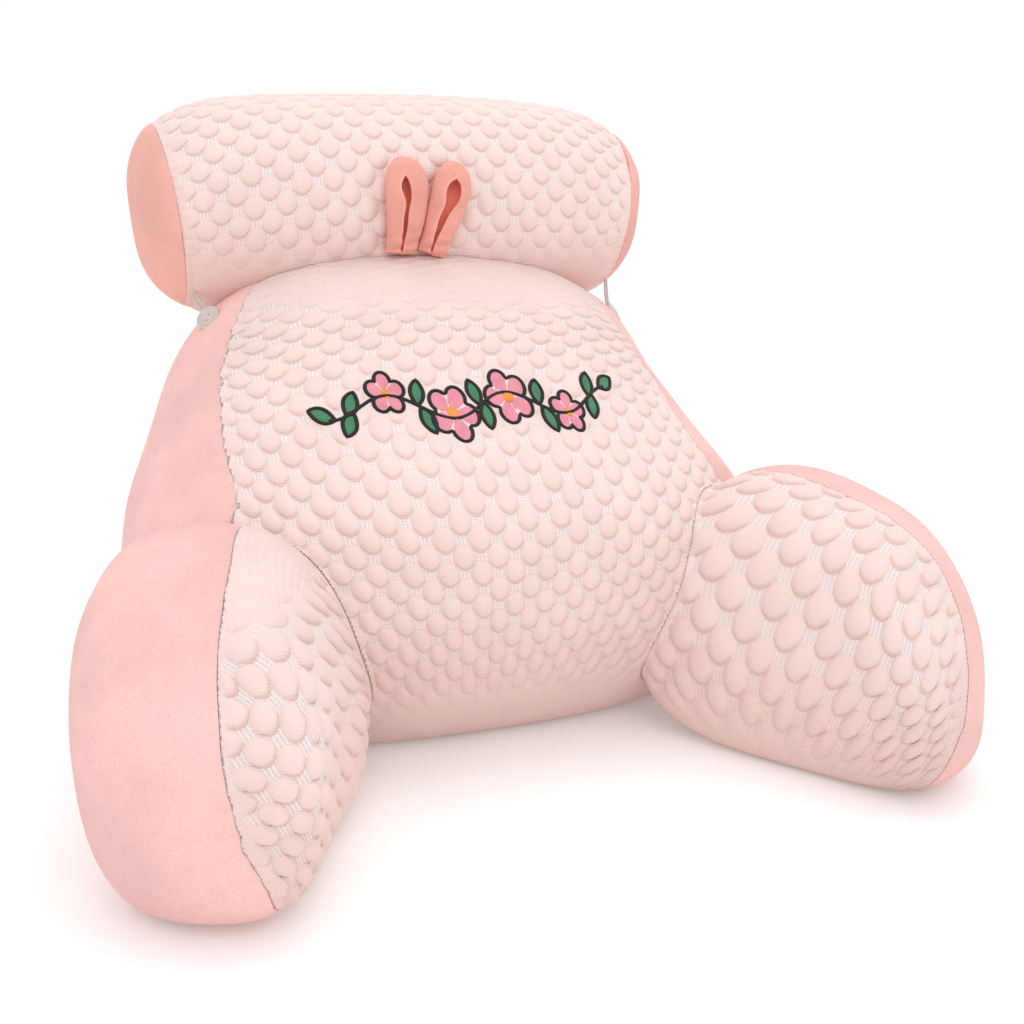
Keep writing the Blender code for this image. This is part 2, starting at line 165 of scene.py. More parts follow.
# The neck bolster, round about the X axis and pulled in underneath by its loops.
BOLSTER_RADIUS = 0.1105
BOLSTER_HALF_LENGTH = 0.260
BOLSTER_SQUARENESS = 3.6
BOLSTER_CENTRE = Vector((-0.0015, 0.205, 0.4596))
BOLSTER_TILT = math.radians(1.8)
BOLSTER_PULL = 0.010
CAP_SEAM_TOP = 0.236
CAP_SEAM_BOTTOM = 0.213
TUBE_PAST_SEAM = 0.246  # half the length that the tube is made to before its seams cut it

# The two plush ears on the front of the bolster.
Ear = namedtuple("Ear", "x lean turn height half_width opening sway")
EARS = {
    "left": Ear(-0.0290, math.radians(3), math.radians(3), 0.086, 0.0188, 0.0, -0.0040),
    "right": Ear(-0.0005, math.radians(17), math.radians(-6), 0.087, 0.0164, math.radians(12), 0.0020),
}
EarRow = namedtuple("EarRow", "up width depth curl")
EAR_ROWS = (
    EarRow(0.00, 0.72, 0.0100, math.radians(176)),
    EarRow(0.20, 0.78, 0.0120, math.radians(174)),
    EarRow(0.45, 0.94, 0.0150, math.radians(171)),
    EarRow(0.68, 1.00, 0.0155, math.radians(169)),
    EarRow(0.78, 0.97, 0.0150, math.radians(176)),
    EarRow(0.85, 0.88, 0.0130, math.radians(192)),
    EarRow(0.92, 0.70, 0.0100, math.radians(200)),
    EarRow(0.975, 0.42, 0.0065, math.radians(200)),
    EarRow(1.00, 0.14, 0.0040, math.radians(200)),
)
EAR_THICKNESS = 0.0038
EAR_TUCK = 0.22  # how far the right lip tucks in behind the left, of its depth
EAR_GATHER = 0.0020
EAR_CLEARANCE = 0.00045
EAR_FOOT_Z = 0.4130

# A two-hole button on each top corner of the back, on a shank of thread.
BUTTON_RADIUS = 0.0118
BUTTON_THICKNESS = 0.0032
BUTTON_RIM = 0.0016
BUTTON_DISH = 0.0007
BUTTON_EDGE = 0.0010
BUTTON_STEPS = 72
BUTTON_HOLE_RADIUS = 0.0009
BUTTON_HOLE_OFFSET = 0.0031
SHANK_RADIUS = 0.0016
SHANK_LENGTH = 0.0050
BUTTON_SEAT = Vector((0.1991, 0.1211, 0.3521))
BUTTON_NORMAL = Vector((0.67, -0.50, 0.50)).normalized()

# The elastic loop that holds the bolster to each button.
LOOP_RADIUS = 0.0012
LOOP_ANCHOR = Vector((0.212, -0.0502, -0.0765))  # from the bolster's centre
LOOP_STRAND_SPREAD = 0.0030
LOOP_BOW = 0.0015
LOOP_TURN_HEIGHT = 0.0024

# How the quilted cloth lies on a panel. "columns" and "rows" count the bubbles from the panel's
# middle: how many have passed there, and how many more for each half width across, each half
# height up, and each of their products, as the cloth stretches. A bubble sits wherever both counts
# are whole, and wherever both are half past. "bubble" is half a bubble's width and height, in
# shares of a repeat. The stitches and the ribs have their own counts along the two directions in
# which bubbles touch.
Lay = namedtuple("Lay", "middle across up across_twice across_up up_twice")
Quilting = namedtuple("Quilting", "columns rows bubble depth stitches ribs")
QUILTING = {
    "back": Quilting(
        columns=Lay(3.93, 7.99, -0.57, 0.0, -3.20, -0.72),
        rows=Lay(1.44, 0.0, -7.15, 0.55, 0.0, -0.55),
        bubble=(0.325, 0.385),
        depth=0.0034,
        stitches=(7.0, -7.0),
        ribs=(7.0, -7.0),
    ),
    "arm_right": Quilting(
        columns=Lay(1.10, 3.48, -0.55, 0.23, -0.88, 0.24),
        rows=Lay(2.39, 0.56, -2.06, 0.20, 0.19, -0.05),
        bubble=(0.345, 0.350),
        depth=0.0042,
        stitches=(-3.3, 13.0),
        ribs=(10.8, -1.4),
    ),
    "arm_left": Quilting(
        columns=Lay(-1.55, 2.23, -0.58, 0.30, -0.39, 0.16),
        rows=Lay(2.54, 1.81, -2.79, -0.53, 0.71, -0.33),
        bubble=(0.345, 0.350),
        depth=0.0040,
        stitches=(-3.3, 13.0),
        ribs=(10.8, -1.4),
    ),
    "bolster": Quilting(
        columns=None,
        rows=None,
        bubble=(0.335, 0.385),
        depth=0.0030,
        stitches=(6.0, -6.0),
        ribs=(7.0, -7.0),
    ),
}
BOLSTER_REPEAT = 0.0295  # from bubble to bubble along the bolster
BUBBLES_ROUND_BOLSTER = 22
BOLSTER_ROWS_ARCH = 0.40  # how the rows sink towards the bolster's ends
BOLSTER_ROWS_TOP = 0.05  # how far to the right their highest place is
EMBROIDERY_CENTRE = (-0.006, 0.285)
EMBROIDERY_LINE = 0.0018
GARLAND_HALF_LENGTH = 0.128
GARLAND_WAVE = 0.009
GARLAND_FLOWERS = (  # place on the stem, height above it, size and turn
    (-0.60, 0.002, 0.016, 0.3),
    (-0.20, 0.004, 0.021, 1.1),
    (0.22, -0.003, 0.021, 0.6),
    (0.62, 0.001, 0.016, 0.1),
)
GARLAND_LEAVES = (  # place on the stem, and heading in degrees
    (-0.96, 160),
    (-0.88, 60),
    (-0.84, 240),
    (-0.42, 75),
    (-0.40, 285),
    (0.00, 100),
    (0.03, 265),
    (0.42, 75),
    (0.44, 285),
    (0.84, 70),
    (0.86, 250),
    (0.96, 20),
)
GARLAND_LEAF = 0.020
STRETCH_LINES = 14  # creases in each half height where the left arm's top is pulled tight
STRETCH_DEPTH = 0.0004
BUBBLE_DOME = 2.4  # the power of a bubble's profile: higher is flatter on top
BUBBLE_SAG = 0.20
NET_SPREAD = 0.85  # how far the cloth spreads past the panel's edge, of its true length

# Where the quilting fades out. A pair is the two heights or distances that a fade runs between.
SEAM_FADE = 0.007  # how far from a seam it has its full height
CONTACT_FADE = 0.005  # and from where a cushion presses on another
BACK_FOOT_FADE = (0.030, 0.085)
BACK_TOP_FADE = (0.345, 0.380)
BACK_TOP_PRESSED = 0.80  # the share of its height that it loses there
ARM_REST_HEIGHT = 0.026  # where it ends above the floor, at the arm's middle
ARM_REST_SLOPE = -0.010  # and how that changes from the middle to the tip
ARM_REST_FADE = (-0.020, 0.024)
STRETCHED_HEIGHTS = (0.165, 0.190)  # where the left arm's top is pulled tight
STRETCHED_FLAT = 0.88  # the share of the quilting's height that is lost there
BOLSTER_UNDER_FADE = (-0.068, -0.026)
BOLSTER_OVER_FADE = (0.070, 0.104)
BOLSTER_OVER_FLAT = 0.45
CLOSING_SEAM_FADE = (0.001, 0.008)
EMBROIDERY_FADE = (0.001, 0.007)
EMBROIDERY_FLAT = 0.12

# The cloth's unevenness: how high its swells are, how long, and the seed of their draw.
Waves = namedtuple("Waves", "height length seed")
WAVES = {
    "back": Waves(0.0012, 0.11, 4),
    "arm": Waves(0.0012, 0.10, 7),
    "tube": Waves(0.0008, 0.12, 11),
    "cap": Waves(0.0010, 0.06, 20),
    "ear": Waves(0.0018, 0.024, 31),
    "ear_lips": Waves(0.0016, 0.026, 32),
}
WAVES_LAID_OVER = 14
FLOOR_CALM = (0.0, 0.03)  # the heights over which the swells set in
SEAT_CALM = (-0.075, -0.020)
CONTACT_CALM = 0.020
GROOVE_DEPTH = 0.0018  # of a seam in the cloth
GROOVE_WIDTH = 0.0034
CAP_GROOVE_DEPTH = 0.0026
CLOSING_GROOVE_DEPTH = 0.0012
PUCKER_DEPTH = 0.0004
PUCKER_SPACING = 0.0115
PUCKER_REACH = 0.007
CREASE_DEPTH = 0.0002  # in the back, round an arm
CREASE_WIDTH = 0.004

PAINTED_SHADE_HEIGHTS = {  # the heights from which painted shade deepens the cloth's colour, and at which it is deepest
    "back": (0.15, 0.03),
    "arm_right": (0.13, 0.01),
    "arm_left": (0.13, 0.00),
    "bolster": (0.450, 0.395),
}
CELLS = {
    "back_quilt": (316, 116, 276),
    "back_plush": (130, 90, 130),
    "arm_quilt": (96, 184, 132),
    "arm_plush": (80, 130, 96),
    "room": (48, 48, 48),
}
TUBE_CELLS = (248, 384)
EAR_CELLS = (36, 64)
CAP_CELLS = (36, 96)
FLOOR_SOFTNESS = 0.006  # radius of the fold where a cushion meets the floor
ROOM_LET_OUT = 0.0004
MERGE = 0.00001
TREE_REACH = 0.03
SHARP_ANGLE = math.radians(62)


# ---------------------------------------------------------------- tables, forms and distances


def read_table(rows, at):
    """The columns of a table at many places of its first one, on smooth curves through its rows."""
    table = np.array(rows, float)
    places = table[:, 0]
    count = len(places)
    at = np.clip(at, places[0], places[-1])
    before = np.maximum(np.arange(count) - 1, 0)
    after = np.minimum(np.arange(count) + 1, count - 1)
    slopes = (table[after] - table[before]) / (places[after] - places[before])[:, None]
    k = np.clip(np.searchsorted(places, at, side="right") - 1, 0, count - 2)
    step = (places[k + 1] - places[k])[..., None]
    t = (at - places[k])[..., None] / step
    curve = (
        (1 + 2 * t) * (1 - t) ** 2 * table[k]
        + t * (1 - t) ** 2 * step * slopes[k]
        + t * t * (3 - 2 * t) * table[k + 1]
        + t * t * (t - 1) * step * slopes[k + 1]
    )
    return np.moveaxis(curve, -1, 0)


def smooth(low, high, value):
    t = np.clip((value - low) / (high - low), 0, 1)
    return t * t * (3 - 2 * t)


def rounded(corners, squareness):
    """Points of the cube from -1 to 1, blown out to a rounded block of the same reach."""
    plan_squareness, rise_squareness = squareness
    bent = np.tan(corners * np.pi / 4)
    a, b, c = np.abs(bent).T
    plan = a**plan_squareness + b**plan_squareness
    size = (plan ** (rise_squareness / plan_squareness) + c**rise_squareness) ** (1 / rise_squareness)
    return (bent / size[:, None]).T


def settled(x, y, z):
    """Points of a cushion that has come to rest on the floor, which flattens what is below it."""
    z = (z + np.sqrt(z**2 + FLOOR_SOFTNESS**2)) / 2
    return np.stack([x, y, z], axis=1)


def back_form(corners):
    a, b, c = rounded(corners, BACK_SQUARENESS)
    _, z, half_width, front, rear = read_table(BACK_LEVELS, c)
    _, lean, narrower = read_table(BACK_LEAN, z)
    x = (half_width - narrower) * a + lean
    fall = np.maximum(1 - (x / BACK_ARCH_HALF_WIDTH) ** 2, BACK_ARCH_LOWEST)
    arch = BACK_ARCH * ((c + 1) / 2) ** 2 * fall
    y = (front + rear) / 2 + (rear - front) / 2 * b
    return settled(x, y, z + arch)


def arm_form(side):
    """The form of one arm: a runs outwards and b to the root."""
    root, tip = ARM_STATIONS[0], ARM_STATIONS[-1]
    along = Vector((tip.x - root.x, tip.y - root.y)).normalized()
    raised = ARM_ROOT_RAISED["right" if side > 0 else "left"]

    def form(corners):
        a, b, c = rounded(corners, ARM_SQUARENESS)
        _, x, y, half_width, top, lean = read_table(ARM_STATIONS, (1 - b) / 2)
        top = top + raised * smooth(ARM_RAISED_UP_TO, 0, (1 - b) / 2)
        axis_z = top / 2 - ARM_AXIS_BELOW_MIDDLE
        across = half_width * a + lean * c
        z = axis_z + (top - axis_z) * c
        return settled(side * (x - along.y * across), y + along.x * across, z)

    return form


def with_normals(form, corners):
    """Where a form puts the corners of its cells, and which way is out of it there."""
    step = 0.001
    rows = np.arange(len(corners))
    axis = np.argmax(np.abs(corners), axis=1)
    first, second = np.zeros_like(corners), np.zeros_like(corners)
    first[rows, (axis + 1) % 3] = step
    second[rows, (axis + 2) % 3] = step
    points = form(corners)
    across = form(corners + first) - form(corners - first)
    along = form(corners + second) - form(corners - second)
    normals = np.cross(across, along) * np.sign(corners[rows, axis])[:, None]
    normals /= np.maximum(np.linalg.norm(normals, axis=1), 1e-12)[:, None]
    if np.sum(normals * (points - points.mean(axis=0))) < 0:
        normals = -normals
    return points, normals


def gentle_waves(points, place, side=0):
    """The smooth, seeded unevenness of one place on the pillow."""
    height, length, seed = WAVES[place]
    random = np.random.default_rng(seed + side)
    total = np.zeros(len(points))
    for _ in range(WAVES_LAID_OVER):
        direction = random.normal(size=3)
        direction *= math.tau / length / np.linalg.norm(direction) * random.uniform(0.6, 1.3)
        total += np.sin(points @ direction + random.uniform(0, math.tau))
    return height * total / math.sqrt(WAVES_LAID_OVER)


def surface_tree(mesh):
    verts = [vert.co for vert in mesh.vertices]
    return BVHTree.FromPolygons(verts, [tuple(face.vertices) for face in mesh.polygons])


def distance_outside(tree, points):
    """How far each point is outside a closed surface, below zero inside it, up to a reach."""
    distances = np.full(len(points), TREE_REACH)
    for i, point in enumerate(points):
        near, normal, _, distance = tree.find_nearest(point, TREE_REACH)
        if near is not None:
            inside = (Vector(point) - near).dot(normal) < 0
            distances[i] = -distance if inside else distance
    return distances


def arm_seam_x(side, y, z):
    """How far out from the middle an arm's seam lies."""
    ahead = np.clip(-y, -ARM_SEAM[0].y, -ARM_SEAM[-1].y)
    steps = np.interp(ahead, [-row.y for row in ARM_SEAM], [row.step for row in ARM_SEAM])
    _, seam_x, _ = read_table(ARM_SEAM, steps)
    _, swing = read_table(ARM_SEAM_SWING["right" if side > 0 else "left"], ahead)
    below = ARM_SEAM_TUCK_BELOW - z
    below = (below + np.sqrt(below**2 + ARM_SEAM_TUCK_SOFTNESS**2)) / 2
    return seam_x + swing - ARM_SEAM_TUCK * below


def arm_seam_side(points, side):
    """How far points lie to the plush side of an arm's seam, in metres."""
    x, y, z = points.T
    step = 0.002
    seam_x = arm_seam_x(side, y, z)
    ahead_slope = (arm_seam_x(side, y - step, z) - arm_seam_x(side, y + step, z)) / (2 * step)
    rise_slope = (arm_seam_x(side, y, z + step) - arm_seam_x(side, y, z - step)) / (2 * step)
    return (side * x - seam_x) / np.sqrt(1 + ahead_slope**2 + rise_slope**2)


def back_seam_side(points):
    """How far points lie to the plush side of the back cushion's seam, in metres."""
    z = points[:, 2]
    _, seam_y = read_table(BACK_SEAM, z)
    _, above_y = read_table(BACK_SEAM, z + 0.004)
    slope = (above_y - seam_y) / 0.004
    return (points[:, 1] - seam_y) / np.sqrt(1 + slope**2)


# ---------------------------------------------------------------- quilting


def front_net(corners):
    """The back cushion's cloth laid flat: its front face, and round it what lies past its edges."""
    a, b, c = corners.T
    spread = 1 + NET_SPREAD * (b + 1)
    return np.stack([a * spread, c * spread], axis=1)


def inner_net(corners):
    """An arm's cloth laid flat: its inner face, from root to tip and from floor to top."""
    a, b, c = corners.T
    spread = 1 + NET_SPREAD * (a + 1)
    return np.stack([-b * spread, c * spread], axis=1)


def counted(net, lay):
    """How many bubbles have passed at each point of the flat cloth."""
    x, y = net.T
    terms = np.stack([np.ones_like(x), x, y, x * x, x * y, y * y], axis=1)
    return terms @ np.array(lay, float)


def bubble_counts(net, quilting):
    return np.stack([counted(net, quilting.columns), counted(net, quilting.rows)], axis=1)


def bubble_height(counts, quilting):
    """How high the padding stands: about 1 on top of a bubble, and 0 at its edge and past it.

    The padding has sunk a little, so a bubble is fuller in its lower half.
    """
    first, second = counts[:, 0] + counts[:, 1], counts[:, 0] - counts[:, 1]
    first, second = first - np.round(first), second - np.round(second)
    half_width, half_height = quilting.bubble
    across, down = (first + second) / 2 / half_width, (first - second) / 2 / half_height
    reach = np.clip(np.hypot(across, down), 0, 1)
    return (1 - reach**BUBBLE_DOME) * (1 + BUBBLE_SAG * down)


def quilt_points(points, normals, counts, fade, quilting):
    """Presses the quilting into a form: the bubbles' tops stay, the lace between them sinks."""
    sunk = (bubble_height(counts, quilting) - 1) * quilting.depth * fade
    return points + normals * sunk[:, None], np.column_stack([counts, fade])


def puckers(distance, along):
    """The small gathers of cloth beside a seam."""
    waves = np.sin(math.tau * along / PUCKER_SPACING)
    return PUCKER_DEPTH * waves * np.exp(-np.abs(distance) / PUCKER_REACH)


def seam_groove(distance, depth=GROOVE_DEPTH):
    return -depth * np.exp(-np.abs(distance) / GROOVE_WIDTH)


# ---------------------------------------------------------------- meshes


def read_points(mesh):
    points = np.empty(len(mesh.vertices) * 3)
    mesh.vertices.foreach_get("co", points)
    return points.reshape(-1, 3)


def write_points(mesh, points):
    mesh.vertices.foreach_set("co", np.ascontiguousarray(points, np.float32).ravel())
    mesh.update()


def write_vectors(mesh, name, vectors):
    attribute = mesh.attributes.new(name, "FLOAT_VECTOR", "POINT")
    attribute.data.foreach_set("vector", np.ascontiguousarray(vectors, np.float32).ravel())


def cube_of_cells(cells):
    """A cube from -1 to 1 whose faces are parted into cells, so many along each axis."""
    bm = bmesh.new()
    bmesh.ops.create_cube(bm, size=2)
    for axis, count in enumerate(cells):
        edges = [e for e in bm.edges if abs(e.verts[0].co[axis] - e.verts[1].co[axis]) > 0.5]
        bmesh.ops.subdivide_edges(bm, edges=edges, cuts=count - 1, use_grid_fill=True)
    return bm


def mesh_of(bm, name):
    mesh = bpy.data.meshes.new(name)
    bm.to_mesh(mesh)
    bm.free()
    return mesh


def form_mesh(name, cells, finish, mirrored=False):
    """A closed form on a cube of cells. finish gives each corner its point and its cloth."""
    bm = cube_of_cells(cells)
    if mirrored:
        bmesh.ops.reverse_faces(bm, faces=bm.faces)
    mesh = mesh_of(bm, name)
    points, cloth = finish(read_points(mesh))
    write_points(mesh, points)
    if cloth is not None:
        write_vectors(mesh, "cloth", cloth)
    return mesh


def plain_form(form, let_out=0.0):
    """A finish that adds nothing to a form but an even allowance."""

    def finish(corners):
        points, normals = with_normals(form, corners)
        return points + normals * let_out, None

    return finish


def temporary(mesh):
    obj = bpy.data.objects.new(mesh.name, mesh)
    bpy.context.scene.collection.objects.link(obj)
    return obj


def cut_away(mesh, tools):
    """The mesh with the closed meshes of tools taken out of it."""
    body = temporary(mesh)
    helpers = [temporary(tool) for tool in tools]
    for helper in helpers:
        cut = body.modifiers.new("cut", "BOOLEAN")
        cut.operation = "DIFFERENCE"
        cut.solver = "MANIFOLD"
        cut.object = helper
    graph = bpy.context.evaluated_depsgraph_get()
    result = bpy.data.meshes.new_from_object(body.evaluated_get(graph))
    if not result.polygons:
        raise RuntimeError(f"cutting {mesh.name} left nothing of it")
    for obj in [body, *helpers]:
        bpy.data.objects.remove(obj)
    return result


def prism(name, outline, extrusion):
    """A closed prism on a flat outline of corners in order."""
    bm = bmesh.new()
    face = bm.faces.new([bm.verts.new(corner) for corner in outline])
    swept = bmesh.ops.extrude_face_region(bm, geom=[face])
    verts = [item for item in swept["geom"] if isinstance(item, bmesh.types.BMVert)]
    bmesh.ops.translate(bm, verts=verts, vec=extrusion)
    bm.normal_update()
    bmesh.ops.recalc_face_normals(bm, faces=bm.faces)
    return mesh_of(bm, name)


def arm_seam_block(side, taken):
    """The block that takes an arm's "outer" or "inner" half away along its seam."""
    sign = 1 if taken == "outer" else -1
    lowest, highest = ARM_SEAM_HEIGHTS

    def finish(corners):
        far, ahead, up = corners.T
        y = ARM_SEAM[0].y + (ARM_SEAM[-1].y - ARM_SEAM[0].y) * (ahead + 1) / 2
        z = lowest + (highest - lowest) * (up + 1) / 2
        x = arm_seam_x(side, y, z) - sign * GAP / 2 + sign * SEAM_REACH * (far + 1) / 2
        return np.stack([side * x, y, z], axis=1), None

    cells = (2, SEAM_STEPS, ARM_SEAM_LEVELS)
    return form_mesh(f"arm_seam_{taken}", cells, finish, mirrored=side * sign > 0)


def back_seam_block(taken):
    """The block that takes the back cushion's "front" or "rear" away along its seam."""
    sign = 1 if taken == "rear" else -1
    seam_z, seam_y = read_table(BACK_SEAM, np.linspace(BACK_SEAM[0].z, BACK_SEAM[-1].z, SEAM_STEPS + 1))
    line = [(-SEAM_REACH / 2, y - sign * GAP / 2, z) for z, y in zip(seam_z, seam_y)]
    far = sign * SEAM_REACH
    ends = [(line[-1][0], line[-1][1] + far, line[-1][2]), (line[0][0], line[0][1] + far, line[0][2])]
    return prism(f"back_seam_{taken}", line + ends, (SEAM_REACH, 0, 0))


def show(name, mesh, material, nodes=()):
    """Puts a finished piece in the scene in place of its plain solids."""
    obj = bpy.data.objects.new(name, mesh)
    bpy.context.scene.collection.objects.link(obj)
    mesh.materials.clear()
    mesh.materials.append(material)
    mesh.shade_smooth()
    mesh.set_sharp_from_angle(angle=SHARP_ANGLE)
    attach(obj, "root")
    if nodes:
        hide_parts(*nodes)
    return obj


# ---------------------------------------------------------------- materials


class Finish:
    """A material under construction, with short calls for the nodes of a procedural finish."""

    def __init__(self, name, roughness):
        self.material = bpy.data.materials.new(name)
        self.material.use_nodes = True
        self.tree = self.material.node_tree
        self.shader = self.tree.nodes["Principled BSDF"]
        self.shader.inputs["Roughness"].default_value = roughness
        self.shader.inputs["Specular IOR Level"].default_value = 0.3
        self.heights = []

    def node(self, kind, **settings):
        node = self.tree.nodes.new(kind)
        for key, value in settings.items():
            setattr(node, key, value)
        return node

    def put(self, socket, value):
        if isinstance(value, bpy.types.NodeSocket):
            self.tree.links.new(value, socket)
        else:
            socket.default_value = value

    def math(self, operation, *values):
        node = self.node("ShaderNodeMath", operation=operation)
        for socket, value in zip(node.inputs, values):
            self.put(socket, value)
        return node.outputs[0]

    def ramp(self, value, low, high):
        """0 below low, 1 above high and smooth between; low may be the larger."""
        node = self.node("ShaderNodeMapRange", interpolation_type="SMOOTHSTEP")
        for socket, given in zip(node.inputs, (value, low, high, 0.0, 1.0)):
            self.put(socket, given)
        return node.outputs[0]

    def mix(self, factor, first, second):
        node = self.node("ShaderNodeMix", data_type="RGBA")
        for index, value in ((0, factor), (6, first), (7, second)):
            self.put(node.inputs[index], value)
        return node.outputs[2]

    def noise(self, vector, scale, detail=2.0, roughness=0.5):
        node = self.node("ShaderNodeTexNoise")
        self.put(node.inputs["Vector"], vector)
        node.inputs["Scale"].default_value = scale
        node.inputs["Detail"].default_value = detail
        node.inputs["Roughness"].default_value = roughness
        return node.outputs["Fac"]

    def place(self):
        return self.node("ShaderNodeTexCoord").outputs["Object"]

    def cloth(self):
        """Three values that a piece's points carry: on quilting, both counts and the fade."""
        source = self.node("ShaderNodeAttribute", attribute_name="cloth")
        parts = self.node("ShaderNodeSeparateXYZ")
        self.tree.links.new(source.outputs["Vector"], parts.inputs[0])
        return parts.outputs

    def add_bump(self, height, distance, strength=1.0):
        self.heights.append((height, distance, strength))

    def colour(self, value):
        self.put(self.shader.inputs["Base Color"], value)

    def done(self):
        normal = None
        for height, distance, strength in self.heights:
            bump = self.node("ShaderNodeBump")
            bump.inputs["Strength"].default_value = strength
            bump.inputs["Distance"].default_value = distance
            self.put(bump.inputs["Height"], height)
            if normal:
                self.put(bump.inputs["Normal"], normal)
            normal = bump.outputs[0]
        if normal:
            self.put(self.shader.inputs["Normal"], normal)
        return self.material


def shade(colour, factor):
    return (*(min(channel * factor, 1.0) for channel in colour[:3]), 1.0)


def quilt_finish(name, colour, lace_colour, painted_shade_colour, painted_shade_heights, quilting):
    """Quilted cotton knit: ribbed bubbles on a ground of open lace with fine stitches.

    Painted shade darkens the cloth from the higher to the lower of the two heights given, and also on the
    bubbles' lower edges and in the lace's holes.
    """
    finish = Finish(name, 0.85)
    columns, rows, fade = finish.cloth()
    counts = (finish.math("ADD", columns, rows), finish.math("SUBTRACT", columns, rows))
    near = [finish.math("SUBTRACT", count, finish.math("ROUND", count)) for count in counts]
    half_width, half_height = quilting.bubble
    across = finish.math("MULTIPLY", finish.math("ADD", *near), 0.5 / half_width)
    down = finish.math("MULTIPLY", finish.math("SUBTRACT", *near), 0.5 / half_height)
    squares = finish.math("MULTIPLY_ADD", across, across, finish.math("MULTIPLY", down, down))
    reach = finish.math("SQRT", squares)
    lace = finish.math("MULTIPLY", finish.ramp(reach, 0.97, 1.06), fade)
    # painted shade along the lower edge of each bubble
    edge = finish.math("MULTIPLY", finish.ramp(reach, 0.66, 0.99), finish.ramp(reach, 1.14, 1.0))
    edge = finish.math("MULTIPLY", edge, finish.ramp(down, 0.1, 0.75))
    edge = finish.math("MULTIPLY", edge, fade)

    def lines(weights):
        total = finish.math("MULTIPLY", counts[0], math.tau * weights[0])
        return finish.math("SINE", finish.math("MULTIPLY_ADD", counts[1], math.tau * weights[1], total))

    stitches = finish.ramp(lines(quilting.stitches), -0.5, 0.5)
    crossing = finish.ramp(lines((4.5, 4.5)), -0.6, 0.6)
    threads = finish.math("MULTIPLY", stitches, crossing)
    holes = finish.math("MULTIPLY", lace, finish.math("SUBTRACT", 1.0, stitches))
    place = finish.place()
    mottled = finish.ramp(finish.noise(place, 22.0, 3.0), 0.3, 0.7)
    base = finish.mix(mottled, shade(colour, 0.97), shade(colour, 1.02))
    base = finish.mix(lace, base, lace_colour)
    # painted shade: the lace's holes are darkened
    base = finish.mix(finish.math("MULTIPLY", holes, 0.24), base, shade(painted_shade_colour, 0.80))
    # painted shade: the bubbles' lower edges are darkened
    base = finish.mix(finish.math("MULTIPLY", edge, 0.42), base, shade(painted_shade_colour, 0.80))
    # painted shade: the cloth darkens towards the shade colour low down, between the two heights
    height = finish.node("ShaderNodeSeparateXYZ")
    finish.put(height.inputs[0], place)
    low = finish.math("MULTIPLY", finish.ramp(height.outputs[2], *painted_shade_heights), 0.4)
    finish.colour(finish.mix(low, base, painted_shade_colour))
    knit = finish.math("MULTIPLY", lines(quilting.ribs), finish.math("SUBTRACT", 1.0, lace))
    finish.add_bump(knit, 0.00010)
    finish.add_bump(finish.math("MULTIPLY", threads, lace), 0.0005)
    finish.add_bump(finish.math("MULTIPLY", finish.ramp(reach, 1.04, 0.88), fade), 0.0004)
    finish.add_bump(finish.noise(place, 900.0, 2.0), 0.00018)
    finish.shader.inputs["Sheen Weight"].default_value = 0.15
    finish.shader.inputs["Sheen Roughness"].default_value = 0.5
    return finish.done()


def plush_finish(name, colour, deep, painted_fold_colour=None):
    """Short plush: a soft nap whose tone drifts at random, with painted shade in the hollows between its
    tufts.

    With a fold colour, painted shade and a painted glow deepen the nap to it inside a folded piece, and a
    painted highlight makes it paler at its lips.
    """
    finish = Finish(name, 0.95)
    place = finish.place()
    drift = finish.ramp(finish.noise(place, 11.0, 4.0, 0.6), 0.3, 0.72)
    tuft = finish.noise(place, 420.0, 3.0, 0.7)
    base = finish.mix(drift, shade(colour, 0.90), shade(colour, 1.06))
    # painted shade where the tufts' bump is low, in the hollows between them
    base = finish.mix(finish.math("MULTIPLY", finish.ramp(tuft, 0.55, 0.3), deep), base, shade(colour, 0.7))
    if painted_fold_colour:
        # painted shade and glow inside the fold, and a painted highlight on the lips
        inside, lip, _ = finish.cloth()
        # painted highlight: the lips are paler
        base = finish.mix(inside, finish.mix(lip, base, shade(colour, 1.2)), painted_fold_colour)
        # a painted glow of the fold colour inside the fold
        finish.shader.inputs["Emission Color"].default_value = painted_fold_colour
        finish.put(finish.shader.inputs["Emission Strength"], finish.math("MULTIPLY", inside, 0.05))
    finish.colour(base)
    finish.add_bump(tuft, 0.0006)
    finish.add_bump(finish.noise(place, 60.0, 3.0), 0.0008)
    finish.shader.inputs["Sheen Weight"].default_value = 0.15
    finish.shader.inputs["Sheen Roughness"].default_value = 0.4
    finish.shader.inputs["Sheen Tint"].default_value = shade(colour, 1.15)
    return finish.done()


def button_finish(name, colour):
    """Pale moulded resin with a faint swirl."""
    finish = Finish(name, 0.35)
    swirl = finish.noise(finish.place(), 140.0, 3.0, 0.6)
    finish.colour(finish.mix(finish.ramp(swirl, 0.35, 0.7), shade(colour, 0.93), shade(colour, 1.03)))
    finish.add_bump(swirl, 0.00005)
    finish.shader.inputs["Coat Weight"].default_value = 0.3
    finish.shader.inputs["Coat Roughness"].default_value = 0.25
    return finish.done()


def thread_finish(name, colour, sheen, scale=2200.0):
    """Twisted or braided thread, its fibres seen as fine streaks."""
    finish = Finish(name, 0.6)
    fibre = finish.noise(finish.place(), scale, 2.0, 0.6)
    finish.colour(finish.mix(finish.ramp(fibre, 0.3, 0.7), shade(colour, 0.8), shade(colour, 1.1)))
    finish.add_bump(fibre, 0.0002)
    finish.shader.inputs["Sheen Weight"].default_value = sheen
    return finish.done()


# ---------------------------------------------------------------- the back cushion


